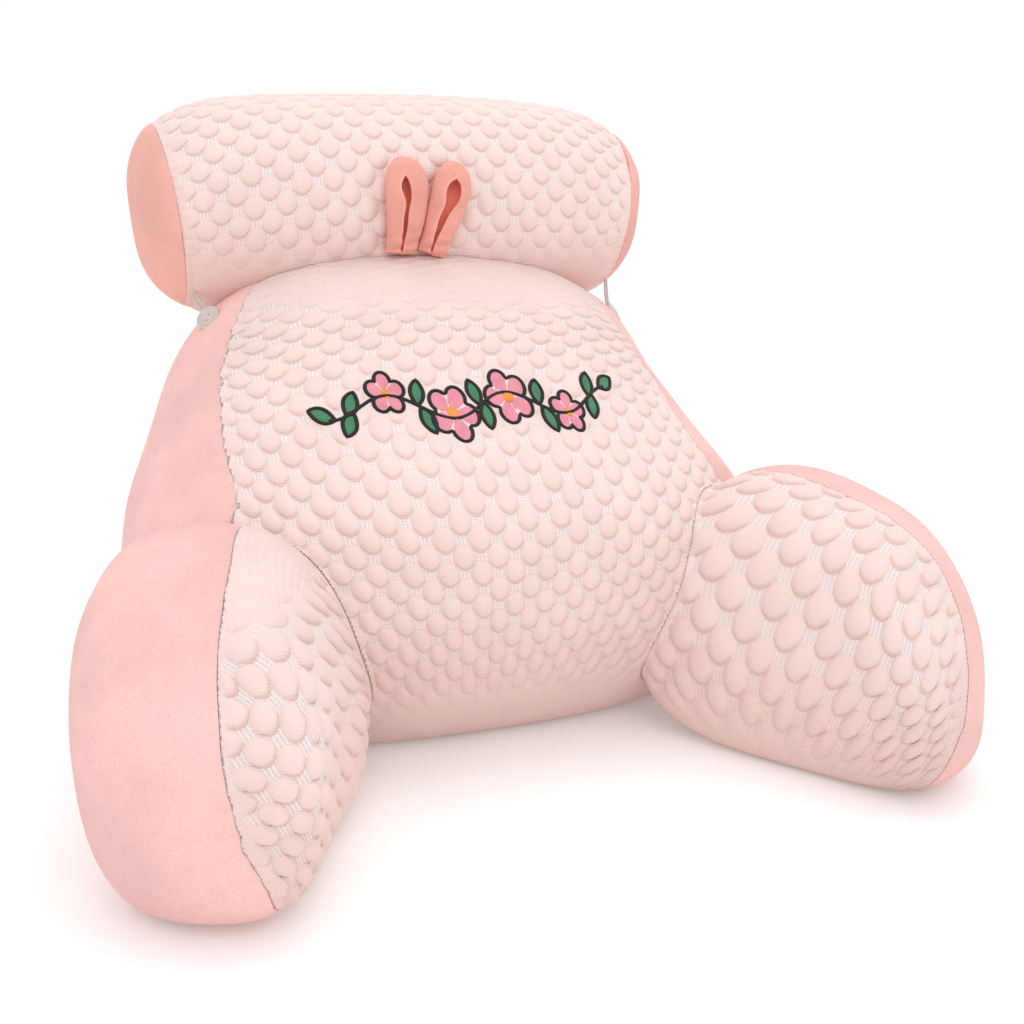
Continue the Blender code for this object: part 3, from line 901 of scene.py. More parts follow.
def room_forms():
    """The closed forms that the back cushion makes room for, a little larger than they are."""
    rooms = []
    for side in SIDES.values():
        finish = plain_form(arm_form(side), ROOM_LET_OUT)
        rooms.append(form_mesh("arm_room", CELLS["room"], finish, mirrored=side < 0))
    rooms.append(bolster_room())
    return rooms


def form_tree(name, form, mirrored=False):
    """The plain surface of a form, for measuring from."""
    mesh = form_mesh(name, CELLS["room"], plain_form(form), mirrored)
    tree = surface_tree(mesh)
    bpy.data.meshes.remove(mesh)
    return tree


def back_finish(trees, quilted):
    """The back cushion with its seam and its crease round each arm, and quilted if asked for."""

    def finish(corners):
        points, normals = with_normals(back_form, corners)
        seam = back_seam_side(points)
        arms = np.minimum(*(distance_outside(tree, points) for tree in trees))
        offset = seam_groove(seam) + puckers(seam, points[:, 2])
        offset -= CREASE_DEPTH * np.exp(-np.maximum(arms, 0) / CREASE_WIDTH) * (arms < TREE_REACH)
        offset += gentle_waves(points, "back") * smooth(*FLOOR_CALM, points[:, 2])
        if not quilted:
            return points + normals * offset[:, None], None
        fade = smooth(0, SEAM_FADE, -seam) * smooth(0, CONTACT_FADE, arms)
        fade *= 1 - BACK_TOP_PRESSED * smooth(*BACK_TOP_FADE, points[:, 2])
        fade *= smooth(*BACK_FOOT_FADE, points[:, 2]) * embroidery_fade(points)
        counts = bubble_counts(front_net(corners), QUILTING["back"])
        points = points + normals * offset[:, None]
        return quilt_points(points, normals, counts, fade, QUILTING["back"])

    return finish


def make_back(settings):
    trees = [form_tree("arm_form", arm_form(side), side < 0) for side in SIDES.values()]
    rooms = room_forms()
    quilt = form_mesh("back_quilt_panel", CELLS["back_quilt"], back_finish(trees, True))
    quilt = cut_away(quilt, [room.copy() for room in rooms] + [back_seam_block("rear")])
    plush = form_mesh("back_plush_panel", CELLS["back_plush"], back_finish(trees, False))
    plush = cut_away(plush, rooms + [back_seam_block("front")])
    front = show("quilted_front", quilt, settings.quilt("back"), ["back_quilt"])
    show("plush_rear", plush, settings.plush(), ["back_plush"])
    make_embroidery(settings, surface_tree(front.data))


# ---------------------------------------------------------------- the embroidery


def stem_point(share):
    """A place on the garland's stem, which waves from the left end (-1) to the right end (1)."""
    x = EMBROIDERY_CENTRE[0] + GARLAND_HALF_LENGTH * share
    return x, EMBROIDERY_CENTRE[1] + GARLAND_WAVE * math.sin(2.5 * math.pi * share)


def flower_outline(flower):
    """The five-lobed outline of one flower."""
    centre, size, turn = flower
    outline = []
    for i in range(60):
        angle = math.tau * i / 60
        reach = size * (0.62 + 0.38 * abs(math.cos(2.5 * (angle - turn))) ** 0.7)
        outline.append((centre[0] + reach * math.cos(angle), centre[1] + reach * math.sin(angle)))
    return outline + outline[:1]


def flowers():
    placed = []
    for share, rise, size, turn in GARLAND_FLOWERS:
        x, z = stem_point(share)
        placed.append(((x, z + rise), size, turn))
    return placed


def leaves():
    """Each leaf of the garland: where it starts on the stem, its direction and its length."""
    placed = []
    for share, heading in GARLAND_LEAVES:
        placed.append((stem_point(share), math.radians(heading), GARLAND_LEAF))
    return placed


def leaf_outline(leaf):
    start, heading, length = leaf
    outline = []
    for i in range(33):
        along = 1 - abs(i / 16 - 1)
        across = 0.27 * math.sin(math.pi * along) ** 0.8 * (1 if i < 16 else -1)
        x = length * (along * math.cos(heading) - across * math.sin(heading))
        z = length * (along * math.sin(heading) + across * math.cos(heading))
        outline.append((start[0] + x, start[1] + z))
    return outline


def embroidery_lines():
    stem = [stem_point(-1 + 2 * i / 120) for i in range(121)]
    outlines = [flower_outline(flower) for flower in flowers()]
    return [stem] + outlines + [leaf_outline(leaf) for leaf in leaves()]


def embroidery_fade(points):
    """The quilting lies flatter under the embroidery."""
    fade = np.ones(len(points))
    lines = np.array([place for line in embroidery_lines() for place in line])
    low, high = lines.min(axis=0) - 0.01, lines.max(axis=0) + 0.01
    x, y, z = points.T
    rows = np.flatnonzero((y < 0) & (x > low[0]) & (x < high[0]) & (z > low[1]) & (z < high[1]))
    near = points[rows][:, [0, 2]]
    gap = np.min(np.hypot(near[:, None, 0] - lines[:, 0], near[:, None, 1] - lines[:, 1]), axis=1)
    fade[rows] = EMBROIDERY_FLAT + (1 - EMBROIDERY_FLAT) * smooth(*EMBROIDERY_FADE, gap)
    return fade


def on_front(tree, x, z):
    """The point of the quilted front straight behind a place, seen from the front."""
    hit, _, _, _ = tree.ray_cast(Vector((x, -0.6, z)), Vector((0, 1, 0)))
    if hit is None:
        raise RuntimeError(f"the embroidery misses the quilted front at {x:.3f}, {z:.3f}")
    return hit


def stitched_lines(tree, lines, radius, name):
    """Rounded satin lines on the cloth, half sunk in it."""
    bm = bmesh.new()
    for line in lines:
        points = [on_front(tree, *place) + Vector((0, radius * 0.25, 0)) for place in line]
        mesh = tube_mesh(name, points, radius, resolution=2)
        bm.from_mesh(mesh)
        bpy.data.meshes.remove(mesh)
    return mesh_of(bm, name)


def stitched_patches(tree, patches, height, name):
    """Padded satin patches. Each is a centre, a heading, a half length and a half width."""
    bm = bmesh.new()
    for centre, heading, half_length, half_width in patches:
        patch = bmesh.ops.create_uvsphere(bm, u_segments=20, v_segments=10, radius=1)
        for vert in patch["verts"]:
            along = vert.co.x * half_length
            across = vert.co.y * half_width * (1 + 0.25 * vert.co.x)
            x = centre[0] + along * math.cos(heading) - across * math.sin(heading)
            z = centre[1] + along * math.sin(heading) + across * math.cos(heading)
            vert.co = on_front(tree, x, z) - Vector((0, height * vert.co.z, 0))
    bm.normal_update()
    bmesh.ops.recalc_face_normals(bm, faces=bm.faces)
    return mesh_of(bm, name)


def make_embroidery(settings, tree):
    """A garland of flowers and leaves on the front of the back cushion."""
    petals, middles, blades = [], [], []
    for (x, z), size, turn in flowers():
        for i in range(5):
            angle = turn + math.tau * i / 5
            place = (x + 0.56 * size * math.cos(angle), z + 0.56 * size * math.sin(angle))
            petals.append((place, angle, 0.40 * size, 0.31 * size))
        middles.append(((x, z), 0.0, 0.24 * size, 0.24 * size))
    for (x, z), heading, length in leaves():
        place = (x + length * math.cos(heading) / 2, z + length * math.sin(heading) / 2)
        blades.append((place, heading, 0.44 * length, 0.22 * length))
    outlines = stitched_lines(tree, embroidery_lines(), EMBROIDERY_LINE, "embroidery_lines")
    show("embroidered_outlines", outlines, settings.thread("dark_thread", settings.dark_thread, 0.0))
    for name, patches, colour in (
        ("petals", petals, settings.petal_thread),
        ("flower_middles", middles, settings.middle_thread),
        ("leaf_blades", blades, settings.leaf_thread),
    ):
        raised = 0.0016 if name == "flower_middles" else 0.0009
        mesh = stitched_patches(tree, patches, raised, name)
        show(f"embroidered_{name}", mesh, settings.thread(f"{name}_thread", colour))


# ---------------------------------------------------------------- the arms


def arm_finish(side, tree, quilted):
    """One arm with its seam, and its quilting where that is asked for."""
    form = arm_form(side)

    def finish(corners):
        points, normals = with_normals(form, corners)
        height = points[:, 2]
        seam = arm_seam_side(points, side)
        back = distance_outside(tree, points)
        offset = seam_groove(seam) + puckers(seam, points[:, 1] - height)
        offset *= smooth(0, 2 * CONTACT_FADE, back)
        waves = gentle_waves(points, "arm", side)
        offset += waves * smooth(*FLOOR_CALM, height) * smooth(0, CONTACT_CALM, back)
        if not quilted:
            return points + normals * offset[:, None], None
        quilting = QUILTING["arm_right" if side > 0 else "arm_left"]
        net = inner_net(corners)
        fade = smooth(0, SEAM_FADE, -seam) * smooth(0, CONTACT_FADE, back)
        resting = ARM_REST_HEIGHT + ARM_REST_SLOPE * net[:, 0]
        fade *= smooth(*ARM_REST_FADE, height - resting)
        if side < 0:
            stretched = smooth(*STRETCHED_HEIGHTS, height)
            fade *= 1 - STRETCHED_FLAT * stretched
            lines = np.sin(math.tau * (STRETCH_LINES * net[:, 1] + 0.5 * np.sin(3 * net[:, 0])))
            offset += STRETCH_DEPTH * lines * stretched * smooth(0.002, CONTACT_CALM, back)
        points = points + normals * offset[:, None]
        return quilt_points(points, normals, bubble_counts(net, quilting), fade, quilting)

    return finish


def make_arms(settings):
    tree = form_tree("back_form", back_form)
    for name, side in SIDES.items():
        mirrored = side < 0
        quilt = form_mesh("arm_quilt_panel", CELLS["arm_quilt"], arm_finish(side, tree, True), mirrored)
        quilt = cut_away(quilt, [arm_seam_block(side, "outer")])
        plush = form_mesh("arm_plush_panel", CELLS["arm_plush"], arm_finish(side, tree, False), mirrored)
        plush = cut_away(plush, [arm_seam_block(side, "inner")])
        cloth = settings.quilt(f"arm_{name}")
        show(f"quilted_arm_{name}", quilt, cloth, [f"arm_quilt_{name}"])
        show(f"plush_arm_{name}", plush, settings.plush(), [f"arm_plush_{name}"])


# ---------------------------------------------------------------- the bolster


def bolster_frame():
    return Matrix.Translation(BOLSTER_CENTRE) @ Matrix.Rotation(-BOLSTER_TILT, 4, "Y")


def bolster_outline(x):
    share = np.clip(np.abs(x) / BOLSTER_HALF_LENGTH, 0, 1)
    return BOLSTER_RADIUS * (1 - share**BOLSTER_SQUARENESS) ** (1 / BOLSTER_SQUARENESS)


def pulled(x, y, z):
    """Points of the bolster after its loops have pulled its ends in underneath."""
    share = x / BOLSTER_HALF_LENGTH
    underneath = (1 - z / BOLSTER_RADIUS) / 2
    return np.stack([x - np.sign(x) * BOLSTER_PULL * share**2 * underneath, y, z], axis=1)


def turned_mesh(name, profile, steps, axis=(1, 0, 0)):
    """A profile of (x, z) turned once about an axis through the middle."""
    bm = bmesh.new()
    verts = [bm.verts.new((x, 0, z)) for x, z in profile]
    edges = [bm.edges.new(pair) for pair in zip(verts, verts[1:])]
    bmesh.ops.spin(
        bm,
        geom=verts + edges,
        cent=(0, 0, 0),
        axis=axis,
        angle=math.tau,
        steps=steps,
        use_merge=True,
    )
    bmesh.ops.remove_doubles(bm, verts=bm.verts, dist=MERGE)
    bm.normal_update()
    bmesh.ops.recalc_face_normals(bm, faces=bm.faces)
    return mesh_of(bm, name)


def end_profile(from_x, count):
    """The bolster's outline from a place on it to its end, in even steps along the curve."""
    angle = np.linspace(0, math.pi / 2, 2000)
    power = 2 / BOLSTER_SQUARENESS
    x = BOLSTER_HALF_LENGTH * np.sin(angle) ** power
    radius = BOLSTER_RADIUS * np.cos(angle) ** power
    radius[-1] = 0.0
    keep = x >= from_x
    x, radius = x[keep], radius[keep]
    length = np.concatenate([[0], np.cumsum(np.hypot(np.diff(x), np.diff(radius)))])
    even = np.linspace(0, length[-1], count + 1)
    return list(zip(np.interp(even, length, x), np.interp(even, length, radius)))


def bolster_room():
    """The whole bolster, let out a little, which presses its seat into the back cushion."""
    half = end_profile(0.0, 40)
    profile = [(-x, radius) for x, radius in reversed(half)] + half[1:]
    mesh = turned_mesh("bolster_room", profile, 96)
    points = read_points(mesh)
    points = pulled(*points.T)
    outward = points / np.maximum(np.linalg.norm(points, axis=1), 1e-9)[:, None]
    write_points(mesh, points + outward * ROOM_LET_OUT)
    mesh.transform(bolster_frame())
    return mesh


def seam_plane(side):
    """A point on the slanted seam of one end cap, and the plane's outward direction."""
    top = Vector((side * CAP_SEAM_TOP, 0, BOLSTER_RADIUS))
    bottom = Vector((side * CAP_SEAM_BOTTOM, 0, -BOLSTER_RADIUS))
    return (top + bottom) / 2, (top - bottom).cross(Vector((0, -side, 0))).normalized()


def past_seam(points, side):
    point, outward = seam_plane(side)
    return (points - np.array(point)) @ np.array(outward)


def cut_by_seam(mesh, side, keep_outside):
    """Cuts the bolster along one cap's seam and closes the cut."""
    point, outward = seam_plane(side)
    sign = -1 if keep_outside else 1
    bm = bmesh.new()
    bm.from_mesh(mesh)
    cut = bmesh.ops.bisect_plane(
        bm,
        geom=bm.verts[:] + bm.edges[:] + bm.faces[:],
        plane_co=point - sign * outward * GAP / 2,
        plane_no=outward * sign,
        clear_outer=True,
    )
    rim = [item for item in cut["geom_cut"] if isinstance(item, bmesh.types.BMEdge)]
    bmesh.ops.contextual_create(bm, geom=rim)
    bm.normal_update()
    bmesh.ops.recalc_face_normals(bm, faces=bm.faces)
    bm.to_mesh(mesh)
    bm.free()


def radial_normals(points):
    """Out of the bolster, square to its outline."""
    x, y, z = points.T
    radius = np.maximum(np.hypot(y, z), 1e-6)
    step = 0.0005
    slope = (bolster_outline(x + step) - bolster_outline(x - step)) / (2 * step)
    normals = np.stack([-slope, y / radius, z / radius], axis=1)
    return normals / np.linalg.norm(normals, axis=1)[:, None]


def make_tube(settings):
    """The quilted tube of the bolster."""
    quilting = QUILTING["bolster"]
    along = np.linspace(-TUBE_PAST_SEAM, TUBE_PAST_SEAM, TUBE_CELLS[0] + 1)
    profile = list(zip(along, bolster_outline(along)))
    mesh = turned_mesh("bolster_tube", profile, TUBE_CELLS[1])
    points = read_points(mesh)
    x, y, z = points.T
    turn = np.arctan2(z, -y) / math.tau
    arch = BOLSTER_ROWS_ARCH * (x - BOLSTER_ROWS_TOP) ** 2 / (math.tau * BOLSTER_RADIUS)
    counts = np.column_stack([x / BOLSTER_REPEAT, -(turn + arch) * BUBBLES_ROUND_BOLSTER])
    normals = radial_normals(points)
    seams = np.maximum(past_seam(points, -1), past_seam(points, 1))
    fade = smooth(0, SEAM_FADE, -seams) * smooth(*BOLSTER_UNDER_FADE, z)
    fade *= 1 - BOLSTER_OVER_FLAT * smooth(*BOLSTER_OVER_FADE, z)
    closing = np.where(y > 0, np.abs(z), 1.0)  # the tube's own seam runs along its rear
    fade *= smooth(*CLOSING_SEAM_FADE, closing)
    offset = seam_groove(seams) + puckers(seams, BOLSTER_RADIUS * math.tau * turn)
    offset += seam_groove(closing, CLOSING_GROOVE_DEPTH)
    offset += gentle_waves(points, "tube") * smooth(*SEAT_CALM, z)
    points = points + normals * offset[:, None]
    points, cloth = quilt_points(points, normals, counts, fade, quilting)
    write_points(mesh, pulled(*points.T))
    write_vectors(mesh, "cloth", cloth)
    for side in SIDES.values():
        cut_by_seam(mesh, side, keep_outside=False)
    mesh.transform(bolster_frame())
    show("quilted_tube", mesh, settings.quilt("bolster"), ["bolster_quilt"])


def make_caps(settings):
    """The plush end caps of the bolster."""
    for name, side in SIDES.items():
        profile = [(side * x, radius) for x, radius in end_profile(0.19, CAP_CELLS[0])]
        mesh = turned_mesh("bolster_cap", profile, CAP_CELLS[1])
        points = read_points(mesh)
        seams = past_seam(points, side)
        waves = gentle_waves(points, "cap", side) * smooth(*SEAT_CALM, points[:, 2])
        offset = seam_groove(seams, CAP_GROOVE_DEPTH) + waves
        points = points + radial_normals(points) * offset[:, None]
        write_points(mesh, pulled(*points.T))
        cut_by_seam(mesh, side, keep_outside=True)
        mesh.transform(bolster_frame())
        show(f"plush_cap_{name}", mesh, settings.cap_plush(), [f"bolster_cap_{name}"])


def make_bolster(settings):
    make_tube(settings)
    make_caps(settings)


# ---------------------------------------------------------------- ears, buttons and loops


def make_ears(settings):
    """The folded plush ears on the front of the bolster: each a leaf whose lips curl forwards."""
    reach = BOLSTER_RADIUS + EAR_CLEARANCE + EAR_THICKNESS / 2
    foot = EAR_FOOT_Z - BOLSTER_CENTRE.z
    for name, ear in EARS.items():
        bm = bmesh.new()
        bmesh.ops.create_grid(bm, x_segments=EAR_CELLS[0], y_segments=EAR_CELLS[1], size=1)
        mesh = mesh_of(bm, f"ear_{name}_leaf")
        across, up, _ = read_points(mesh).T
        up = (up + 1) / 2
        _, width, depth, curl = read_table(EAR_ROWS, up)
        curl -= ear.opening * smooth(0.15, 0.62, up) * smooth(0.86, 0.74, up)
        depth = depth * (1 - EAR_TUCK * smooth(0.5, 1.0, across) * smooth(0.9, 0.7, up))
        angle = across * curl
        rise = foot + ear.height * up * math.cos(ear.lean)
        behind = reach - np.sqrt(reach**2 - rise**2)
        widest = np.sin(np.minimum(curl, math.pi / 2))
        x = ear.half_width * width * np.sin(angle) / widest
        y = behind - depth * (1 - np.cos(angle)) / 2
        points = np.stack([x, y, ear.height * up], axis=1)
        gather = EAR_GATHER * np.sin(up * 52 + across * 5) * smooth(0.30, 0.02, up)
        crumple = gentle_waves(points, "ear") * smooth(1.0, 0.8, up)
        lips = np.abs(across)
        points[:, 1] -= (gather + crumple) * smooth(0.25, 0.75, lips)
        points[:, 0] += ear.sway * smooth(0.2, 0.8, up) * smooth(0.45, 1.0, lips)
        points[:, 0] += gentle_waves(points, "ear_lips") * smooth(0.7, 1.0, lips)
        # masks for the painted shade and glow inside the fold and the painted highlight on the lips
        inside, edge = smooth(0.46, 0.32, lips), smooth(0.94, 1.0, lips)
        write_vectors(mesh, "cloth", np.stack([inside, edge, up], axis=1))
        write_points(mesh, points)
        mesh.transform(
            Matrix.Translation((ear.x, BOLSTER_CENTRE.y - reach, EAR_FOOT_Z))
            @ Matrix.Rotation(ear.lean, 4, "Y")
            @ Matrix.Rotation(ear.turn, 4, "Z")
        )
        obj = show(f"plush_ear_{name}", mesh, settings.ear_plush(), [f"ear_{name}"])
        mesh.shade_smooth()
        mesh.attributes.remove(mesh.attributes["sharp_edge"])
        body = obj.modifiers.new("thickness", "SOLIDIFY")
        body.thickness = EAR_THICKNESS
        body.offset = 0
        soft = obj.modifiers.new("smoothing", "SUBSURF")
        soft.levels = soft.render_levels = 1


def corner_frame(side):
    """The frame of one top corner: its origin on the cloth, +Z out of it and +Y up along it."""
    seat = Vector((side * BUTTON_SEAT.x, BUTTON_SEAT.y, BUTTON_SEAT.z))
    out = Vector((side * BUTTON_NORMAL.x, BUTTON_NORMAL.y, BUTTON_NORMAL.z))
    up = (Vector((0, 0, 1)) - out * out.z).normalized()
    across = up.cross(out)
    placed = Matrix((across, up, out)).transposed().to_4x4()
    placed.translation = seat
    return placed


def rod(name, radius, depth, middle, segments=24):
    bm = bmesh.new()
    bmesh.ops.create_cone(
        bm, cap_ends=True, segments=segments, radius1=radius, radius2=radius, depth=depth
    )
    bmesh.ops.translate(bm, verts=bm.verts, vec=middle)
    return mesh_of(bm, name)


def make_buttons(settings):
    """The dished two-hole buttons on their shanks of thread."""
    under = GAP + SHANK_LENGTH
    face = under + BUTTON_THICKNESS
    profile = (
        (0, face - BUTTON_DISH),
        (BUTTON_RADIUS - BUTTON_RIM - BUTTON_DISH, face - BUTTON_DISH),
        (BUTTON_RADIUS - BUTTON_RIM, face),
        (BUTTON_RADIUS - BUTTON_EDGE, face),
        (BUTTON_RADIUS - BUTTON_EDGE * 0.3, face - BUTTON_EDGE * 0.3),
        (BUTTON_RADIUS, face - BUTTON_EDGE),
        (BUTTON_RADIUS, under + BUTTON_EDGE),
        (BUTTON_RADIUS - BUTTON_EDGE * 0.3, under + BUTTON_EDGE * 0.3),
        (BUTTON_RADIUS - BUTTON_EDGE, under),
        (SHANK_RADIUS, under),
        (SHANK_RADIUS, GAP),
        (0, GAP),
    )
    for name, side in SIDES.items():
        mesh = turned_mesh(f"button_{name}_form", profile, BUTTON_STEPS, axis=(0, 0, 1))
        holes = []
        for sign in (1, -1):
            middle = (0, sign * BUTTON_HOLE_OFFSET, under + BUTTON_THICKNESS / 2)
            holes.append(rod("button_hole", BUTTON_HOLE_RADIUS, 2 * BUTTON_THICKNESS, middle))
        mesh = cut_away(mesh, holes)
        mesh.transform(corner_frame(side))
        show(f"round_button_{name}", mesh, settings.button(), [f"button_{name}"])


def loop_points(side):
    """The middle of one elastic loop: down to the button, about its shank and back."""
    placed = corner_frame(side)
    anchor = bolster_frame() @ Vector((side * LOOP_ANCHOR.x, LOOP_ANCHOR.y, LOOP_ANCHOR.z))
    turn_radius = SHANK_RADIUS + LOOP_RADIUS + GAP
    local = placed.inverted() @ anchor
    heading = math.atan2(local.y, local.x)
    turn = []
    for i in range(13):
        angle = heading + math.pi / 2 + math.pi * i / 12
        turned = (turn_radius * math.cos(angle), turn_radius * math.sin(angle), LOOP_TURN_HEIGHT)
        turn.append(placed @ Vector(turned))
    across = placed.to_3x3() @ Vector((-math.sin(heading), math.cos(heading), 0))
    out = placed.to_3x3() @ Vector((0, 0, 1))

    def strand(start, sign):
        end = anchor + across * sign * LOOP_STRAND_SPREAD / 2
        shares = [i / 10 for i in range(1, 11)]
        return [start.lerp(end, t) - out * LOOP_BOW * math.sin(math.pi * t) for t in shares]

    return strand(turn[0], 1)[::-1] + turn + strand(turn[-1], -1)


def tube_mesh(name, points, radius, resolution=3):
    """A round tube with closed ends along points."""
    curve = bpy.data.curves.new(name, "CURVE")
    curve.dimensions = "3D"
    curve.bevel_depth = radius
    curve.bevel_resolution = resolution
    curve.use_fill_caps = True
    spline = curve.splines.new("POLY")
    spline.points.add(len(points) - 1)
    for target, point in zip(spline.points, points):
        target.co = (*point, 1)
    obj = temporary(curve)
    mesh = bpy.data.meshes.new_from_object(obj.evaluated_get(bpy.context.evaluated_depsgraph_get()))
    bpy.data.objects.remove(obj)
    return mesh


def make_loops(settings):
    for name, side in SIDES.items():
        mesh = tube_mesh(f"loop_{name}_cord", loop_points(side), LOOP_RADIUS)
        show(f"elastic_loop_{name}", mesh, settings.elastic(), [f"loop_{name}"])


# ---------------------------------------------------------------- the stage


CAMERA_PLACE = Vector((-0.36267, -0.97631, 0.38789))
CAMERA_DOWN = math.radians(9.518)
CAMERA_TURN = math.radians(-21.9189)
CAMERA_LENS = 41.79
CAMERA_SHIFT = (0.0125, -0.0308)
LIGHT_TARGET = Vector((0, 0, 0.2))
KEY_LIGHT_PLACE = Vector((-0.4, -2.0, 2.2))
KEY_LIGHT_SIZE = 1.6
TOP_LIGHT_PLACE = Vector((0.3, 0.2, 2.4))
TOP_LIGHT_SIZE = 2.0
FLOOR_REACH = 12
FLOOR_GLOW = 0.15  # keeps the floor white in the open, as in a lit studio


def area_light(name, place, size, power):
    light = bpy.data.lights.new(name, "AREA")
    light.shape = "RECTANGLE"
    light.size = light.size_y = size
    light.energy = power
    obj = bpy.data.objects.new(name, light)
    obj.location = place
    obj.rotation_euler = (LIGHT_TARGET - place).to_track_quat("-Z", "Y").to_euler()
    bpy.context.scene.collection.objects.link(obj)


def make_stage(stage):
    """The camera, the soft light and a plain pale floor."""
    camera = bpy.data.cameras.new("camera")
    camera.lens = CAMERA_LENS
    camera.sensor_width = 36
    camera.shift_x, camera.shift_y = CAMERA_SHIFT
    viewer = bpy.data.objects.new("camera", camera)
    viewer.location = CAMERA_PLACE
    viewer.rotation_euler = (math.pi / 2 - CAMERA_DOWN, 0, CAMERA_TURN)
    bpy.context.scene.collection.objects.link(viewer)
    bpy.context.scene.camera = viewer

    bm = bmesh.new()
    bmesh.ops.create_grid(bm, x_segments=2, y_segments=2, size=FLOOR_REACH)
    floor_mesh = mesh_of(bm, "floor")
    floor = bpy.data.objects.new("floor", floor_mesh)
    bpy.context.scene.collection.objects.link(floor)
    paper = Finish("floor_paper", 0.9)
    grain = paper.noise(paper.place(), 3.0, 2.0)
    paper.colour(paper.mix(grain, shade(stage.floor_colour, 0.995), shade(stage.floor_colour, 1.005)))
    paper.shader.inputs["Emission Color"].default_value = (1, 1, 1, 1)
    paper.shader.inputs["Emission Strength"].default_value = FLOOR_GLOW
    floor_mesh.materials.append(paper.done())

    world = bpy.data.worlds.new("soft_room")
    world.use_nodes = True
    background = world.node_tree.nodes["Background"]
    background.inputs["Color"].default_value = (1, 1, 1, 1)
    background.inputs["Strength"].default_value = stage.room_light
    bpy.context.scene.world = world
    area_light("key", KEY_LIGHT_PLACE, KEY_LIGHT_SIZE, stage.key_light)
    area_light("top", TOP_LIGHT_PLACE, TOP_LIGHT_SIZE, stage.top_light)
    bpy.context.scene.view_settings.view_transform = "Standard"
    bpy.context.scene.view_settings.look = "None"


# ---------------------------------------------------------------- the add-on


def colour_property(name, description, *colour):
    return bpy.props.FloatVectorProperty(
        name=name, description=description, subtype="COLOR", size=4, min=0, max=1, default=(*colour, 1)
    )


def light_property(name, description, default, unit="POWER"):
    return bpy.props.FloatProperty(
        name=name, description=description, default=default, min=0, unit=unit
    )


class ReadingPillowCloth(bpy.types.PropertyGroup):
    """The colours of the pillow's cloths and trimmings."""

    quilt_colour: colour_property("Quilt", "The quilted cotton", 0.84, 0.655, 0.62)
    lace_colour: colour_property("Lace", "The open lace's threads", 0.90, 0.79, 0.77)
    # painted shade: the colour that the quilt darkens to low down, on its bubbles' lower edges and in its
    # lace's holes
    painted_shade_colour: colour_property("Blush", "The cloth low down and in its creases", 0.76, 0.46, 0.38)
    plush_colour: colour_property("Plush", "The short plush", 0.86, 0.535, 0.50)
    # painted shade: the same plush, darker, for the bolster's shaded ends
    shaded_cap_colour: colour_property("Bolster ends", "The plush on the bolster's ends", 0.84, 0.44, 0.385)
    ear_colour: colour_property("Ears", "The ears' plush", 0.82, 0.37, 0.30)
    # painted shade and glow: the colour deep in the ears' folds
    painted_fold_colour: colour_property("Ear folds", "The plush deep in the ears' folds", 0.86, 0.24, 0.17)
    button_colour: colour_property("Buttons", "The buttons", 0.60, 0.53, 0.50)
    elastic_colour: colour_property("Elastic", "The elastic loops", 0.62, 0.53, 0.50)
    dark_thread: colour_property("Outlines", "The embroidered outlines", 0.012, 0.011, 0.012)
    petal_thread: colour_property("Petals", "The embroidered petals", 0.80, 0.28, 0.36)
    middle_thread: colour_property("Flower middles", "The flowers' middles", 0.85, 0.30, 0.04)
    leaf_thread: colour_property("Leaves", "The embroidered leaves", 0.05, 0.22, 0.10)

    def kept(self, name, finish, *settings):
        """The material of this name, which is made with finish when it is first asked for."""
        return bpy.data.materials.get(name) or finish(name, *settings)

    def quilt(self, panel):
        colours = [tuple(colour) for colour in (self.quilt_colour, self.lace_colour, self.painted_shade_colour)]
        return self.kept(f"{panel}_quilt", quilt_finish, *colours, PAINTED_SHADE_HEIGHTS[panel], QUILTING[panel])

    def plush(self):
        return self.kept("short_plush", plush_finish, tuple(self.plush_colour), 0.25)

    # the plush with painted shade, for the bolster's ends
    def cap_plush(self):
        return self.kept("cap_plush", plush_finish, tuple(self.shaded_cap_colour), 0.25)

    def ear_plush(self):
        colours = tuple(self.ear_colour), tuple(self.painted_fold_colour)
        return self.kept("folded_plush", plush_finish, colours[0], 0.35, colours[1])

    def button(self):
        return self.kept("button_resin", button_finish, tuple(self.button_colour))

    def thread(self, name, colour, sheen=0.15):
        return self.kept(name, thread_finish, tuple(colour), sheen)

    def elastic(self):
        return self.kept("elastic_cord", thread_finish, tuple(self.elastic_colour), 0.2)


class ReadingPillowStage(bpy.types.PropertyGroup):
    """The light and the floor."""

    floor_colour: colour_property("Floor", "The floor", 0.86, 0.86, 0.86)
    room_light: light_property("Room light", "Strength of the light all round", 1.0, "NONE")
    key_light: light_property("Key light", "Power of the light at the front left", 8)
    top_light: light_property("Top light", "Power of the light overhead", 12)


class PILLOW_OT_stage(bpy.types.Operator):
    """Make the camera, the lights and the floor"""

    bl_idname = "pillow.stage"
    bl_label = "Stage"

    def execute(self, context):
        make_stage(context.scene.reading_pillow_stage)
        return {"FINISHED"}


class PieceOperator:
    """Makes one group of pieces with the cloth's settings."""

    def execute(self, context):
        self.make(context.scene.reading_pillow_cloth)
        return {"FINISHED"}


class PILLOW_OT_back(PieceOperator, bpy.types.Operator):
    """Make the quilted front and the plush rear of the back cushion, with its embroidery"""

    bl_idname = "pillow.back"
    bl_label = "Back cushion"
    make = staticmethod(make_back)


class PILLOW_OT_arms(PieceOperator, bpy.types.Operator):
    """Make the quilted and plush panels of both arms"""

    bl_idname = "pillow.arms"
    bl_label = "Arms"
    make = staticmethod(make_arms)


class PILLOW_OT_bolster(PieceOperator, bpy.types.Operator):
    """Make the quilted tube and the plush caps of the neck bolster"""

    bl_idname = "pillow.bolster"
    bl_label = "Neck bolster"
    make = staticmethod(make_bolster)


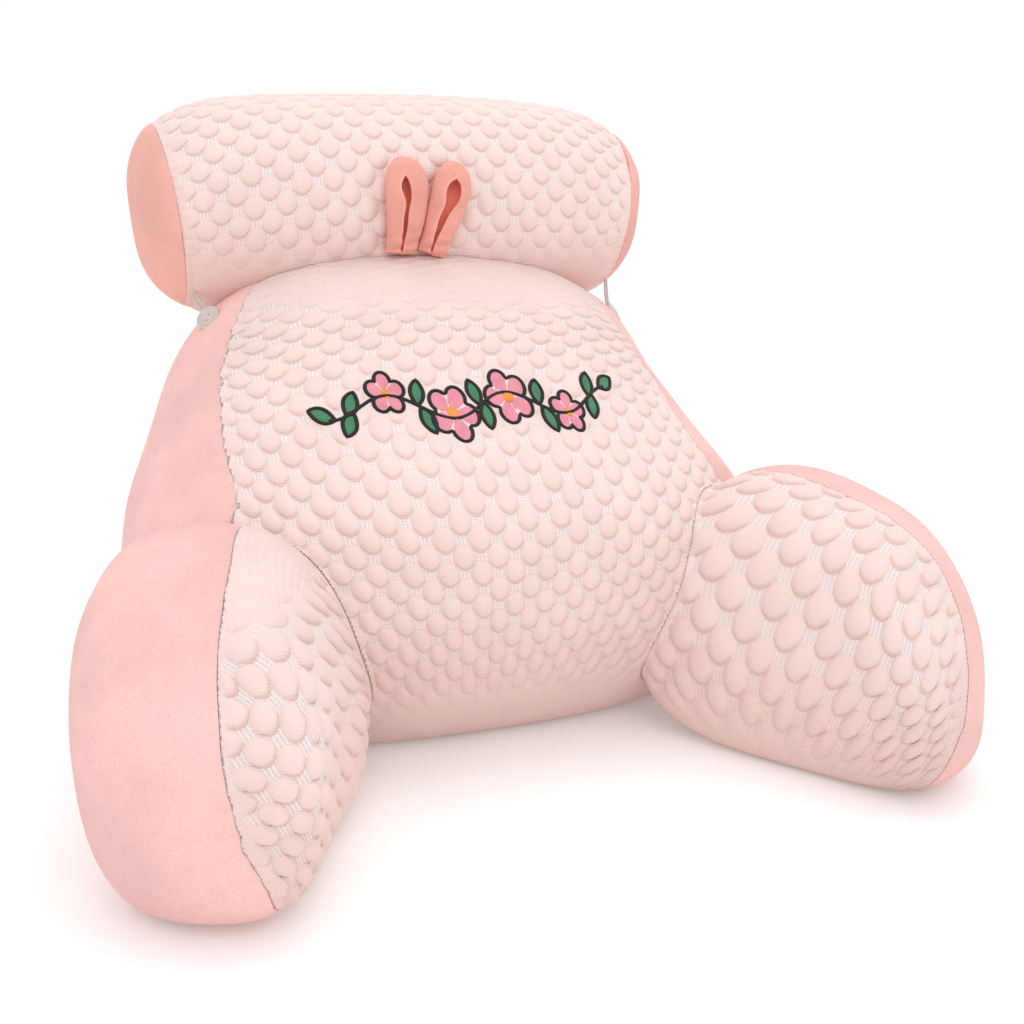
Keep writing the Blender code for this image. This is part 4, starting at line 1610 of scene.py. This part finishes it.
class PILLOW_OT_ears(PieceOperator, bpy.types.Operator):
    """Make the two folded plush ears"""

    bl_idname = "pillow.ears"
    bl_label = "Ears"
    make = staticmethod(make_ears)


class PILLOW_OT_buttons(PieceOperator, bpy.types.Operator):
    """Make the two buttons"""

    bl_idname = "pillow.buttons"
    bl_label = "Buttons"
    make = staticmethod(make_buttons)


class PILLOW_OT_loops(PieceOperator, bpy.types.Operator):
    """Make the two elastic loops"""

    bl_idname = "pillow.loops"
    bl_label = "Elastic loops"
    make = staticmethod(make_loops)


OPERATORS = (
    PILLOW_OT_stage,
    PILLOW_OT_back,
    PILLOW_OT_arms,
    PILLOW_OT_bolster,
    PILLOW_OT_ears,
    PILLOW_OT_buttons,
    PILLOW_OT_loops,
)


class PILLOW_PT_panel(bpy.types.Panel):
    """Lists the pillow's settings and the operators that make its pieces"""

    bl_idname = "PILLOW_PT_panel"
    bl_label = "Reading pillow"
    bl_space_type = "VIEW_3D"
    bl_region_type = "UI"
    bl_category = "Pillow"

    def draw(self, context):
        layout = self.layout
        for group in (context.scene.reading_pillow_cloth, context.scene.reading_pillow_stage):
            for key in group.__annotations__:
                layout.prop(group, key)
        for operator in OPERATORS:
            layout.operator(operator.bl_idname)


CLASSES = (ReadingPillowCloth, ReadingPillowStage, *OPERATORS, PILLOW_PT_panel)


def register():
    for cls in CLASSES:
        bpy.utils.register_class(cls)
    bpy.types.Scene.reading_pillow_cloth = bpy.props.PointerProperty(type=ReadingPillowCloth)
    bpy.types.Scene.reading_pillow_stage = bpy.props.PointerProperty(type=ReadingPillowStage)


def unregister():
    del bpy.types.Scene.reading_pillow_stage
    del bpy.types.Scene.reading_pillow_cloth
    for cls in reversed(CLASSES):
        bpy.utils.unregister_class(cls)


def main():
    register()
    bpy.ops.pillow.stage()
    bpy.ops.pillow.back()
    bpy.ops.pillow.arms()
    bpy.ops.pillow.bolster()
    bpy.ops.pillow.ears()
    bpy.ops.pillow.buttons()
    bpy.ops.pillow.loops()


if __name__ == "__main__":
    main()
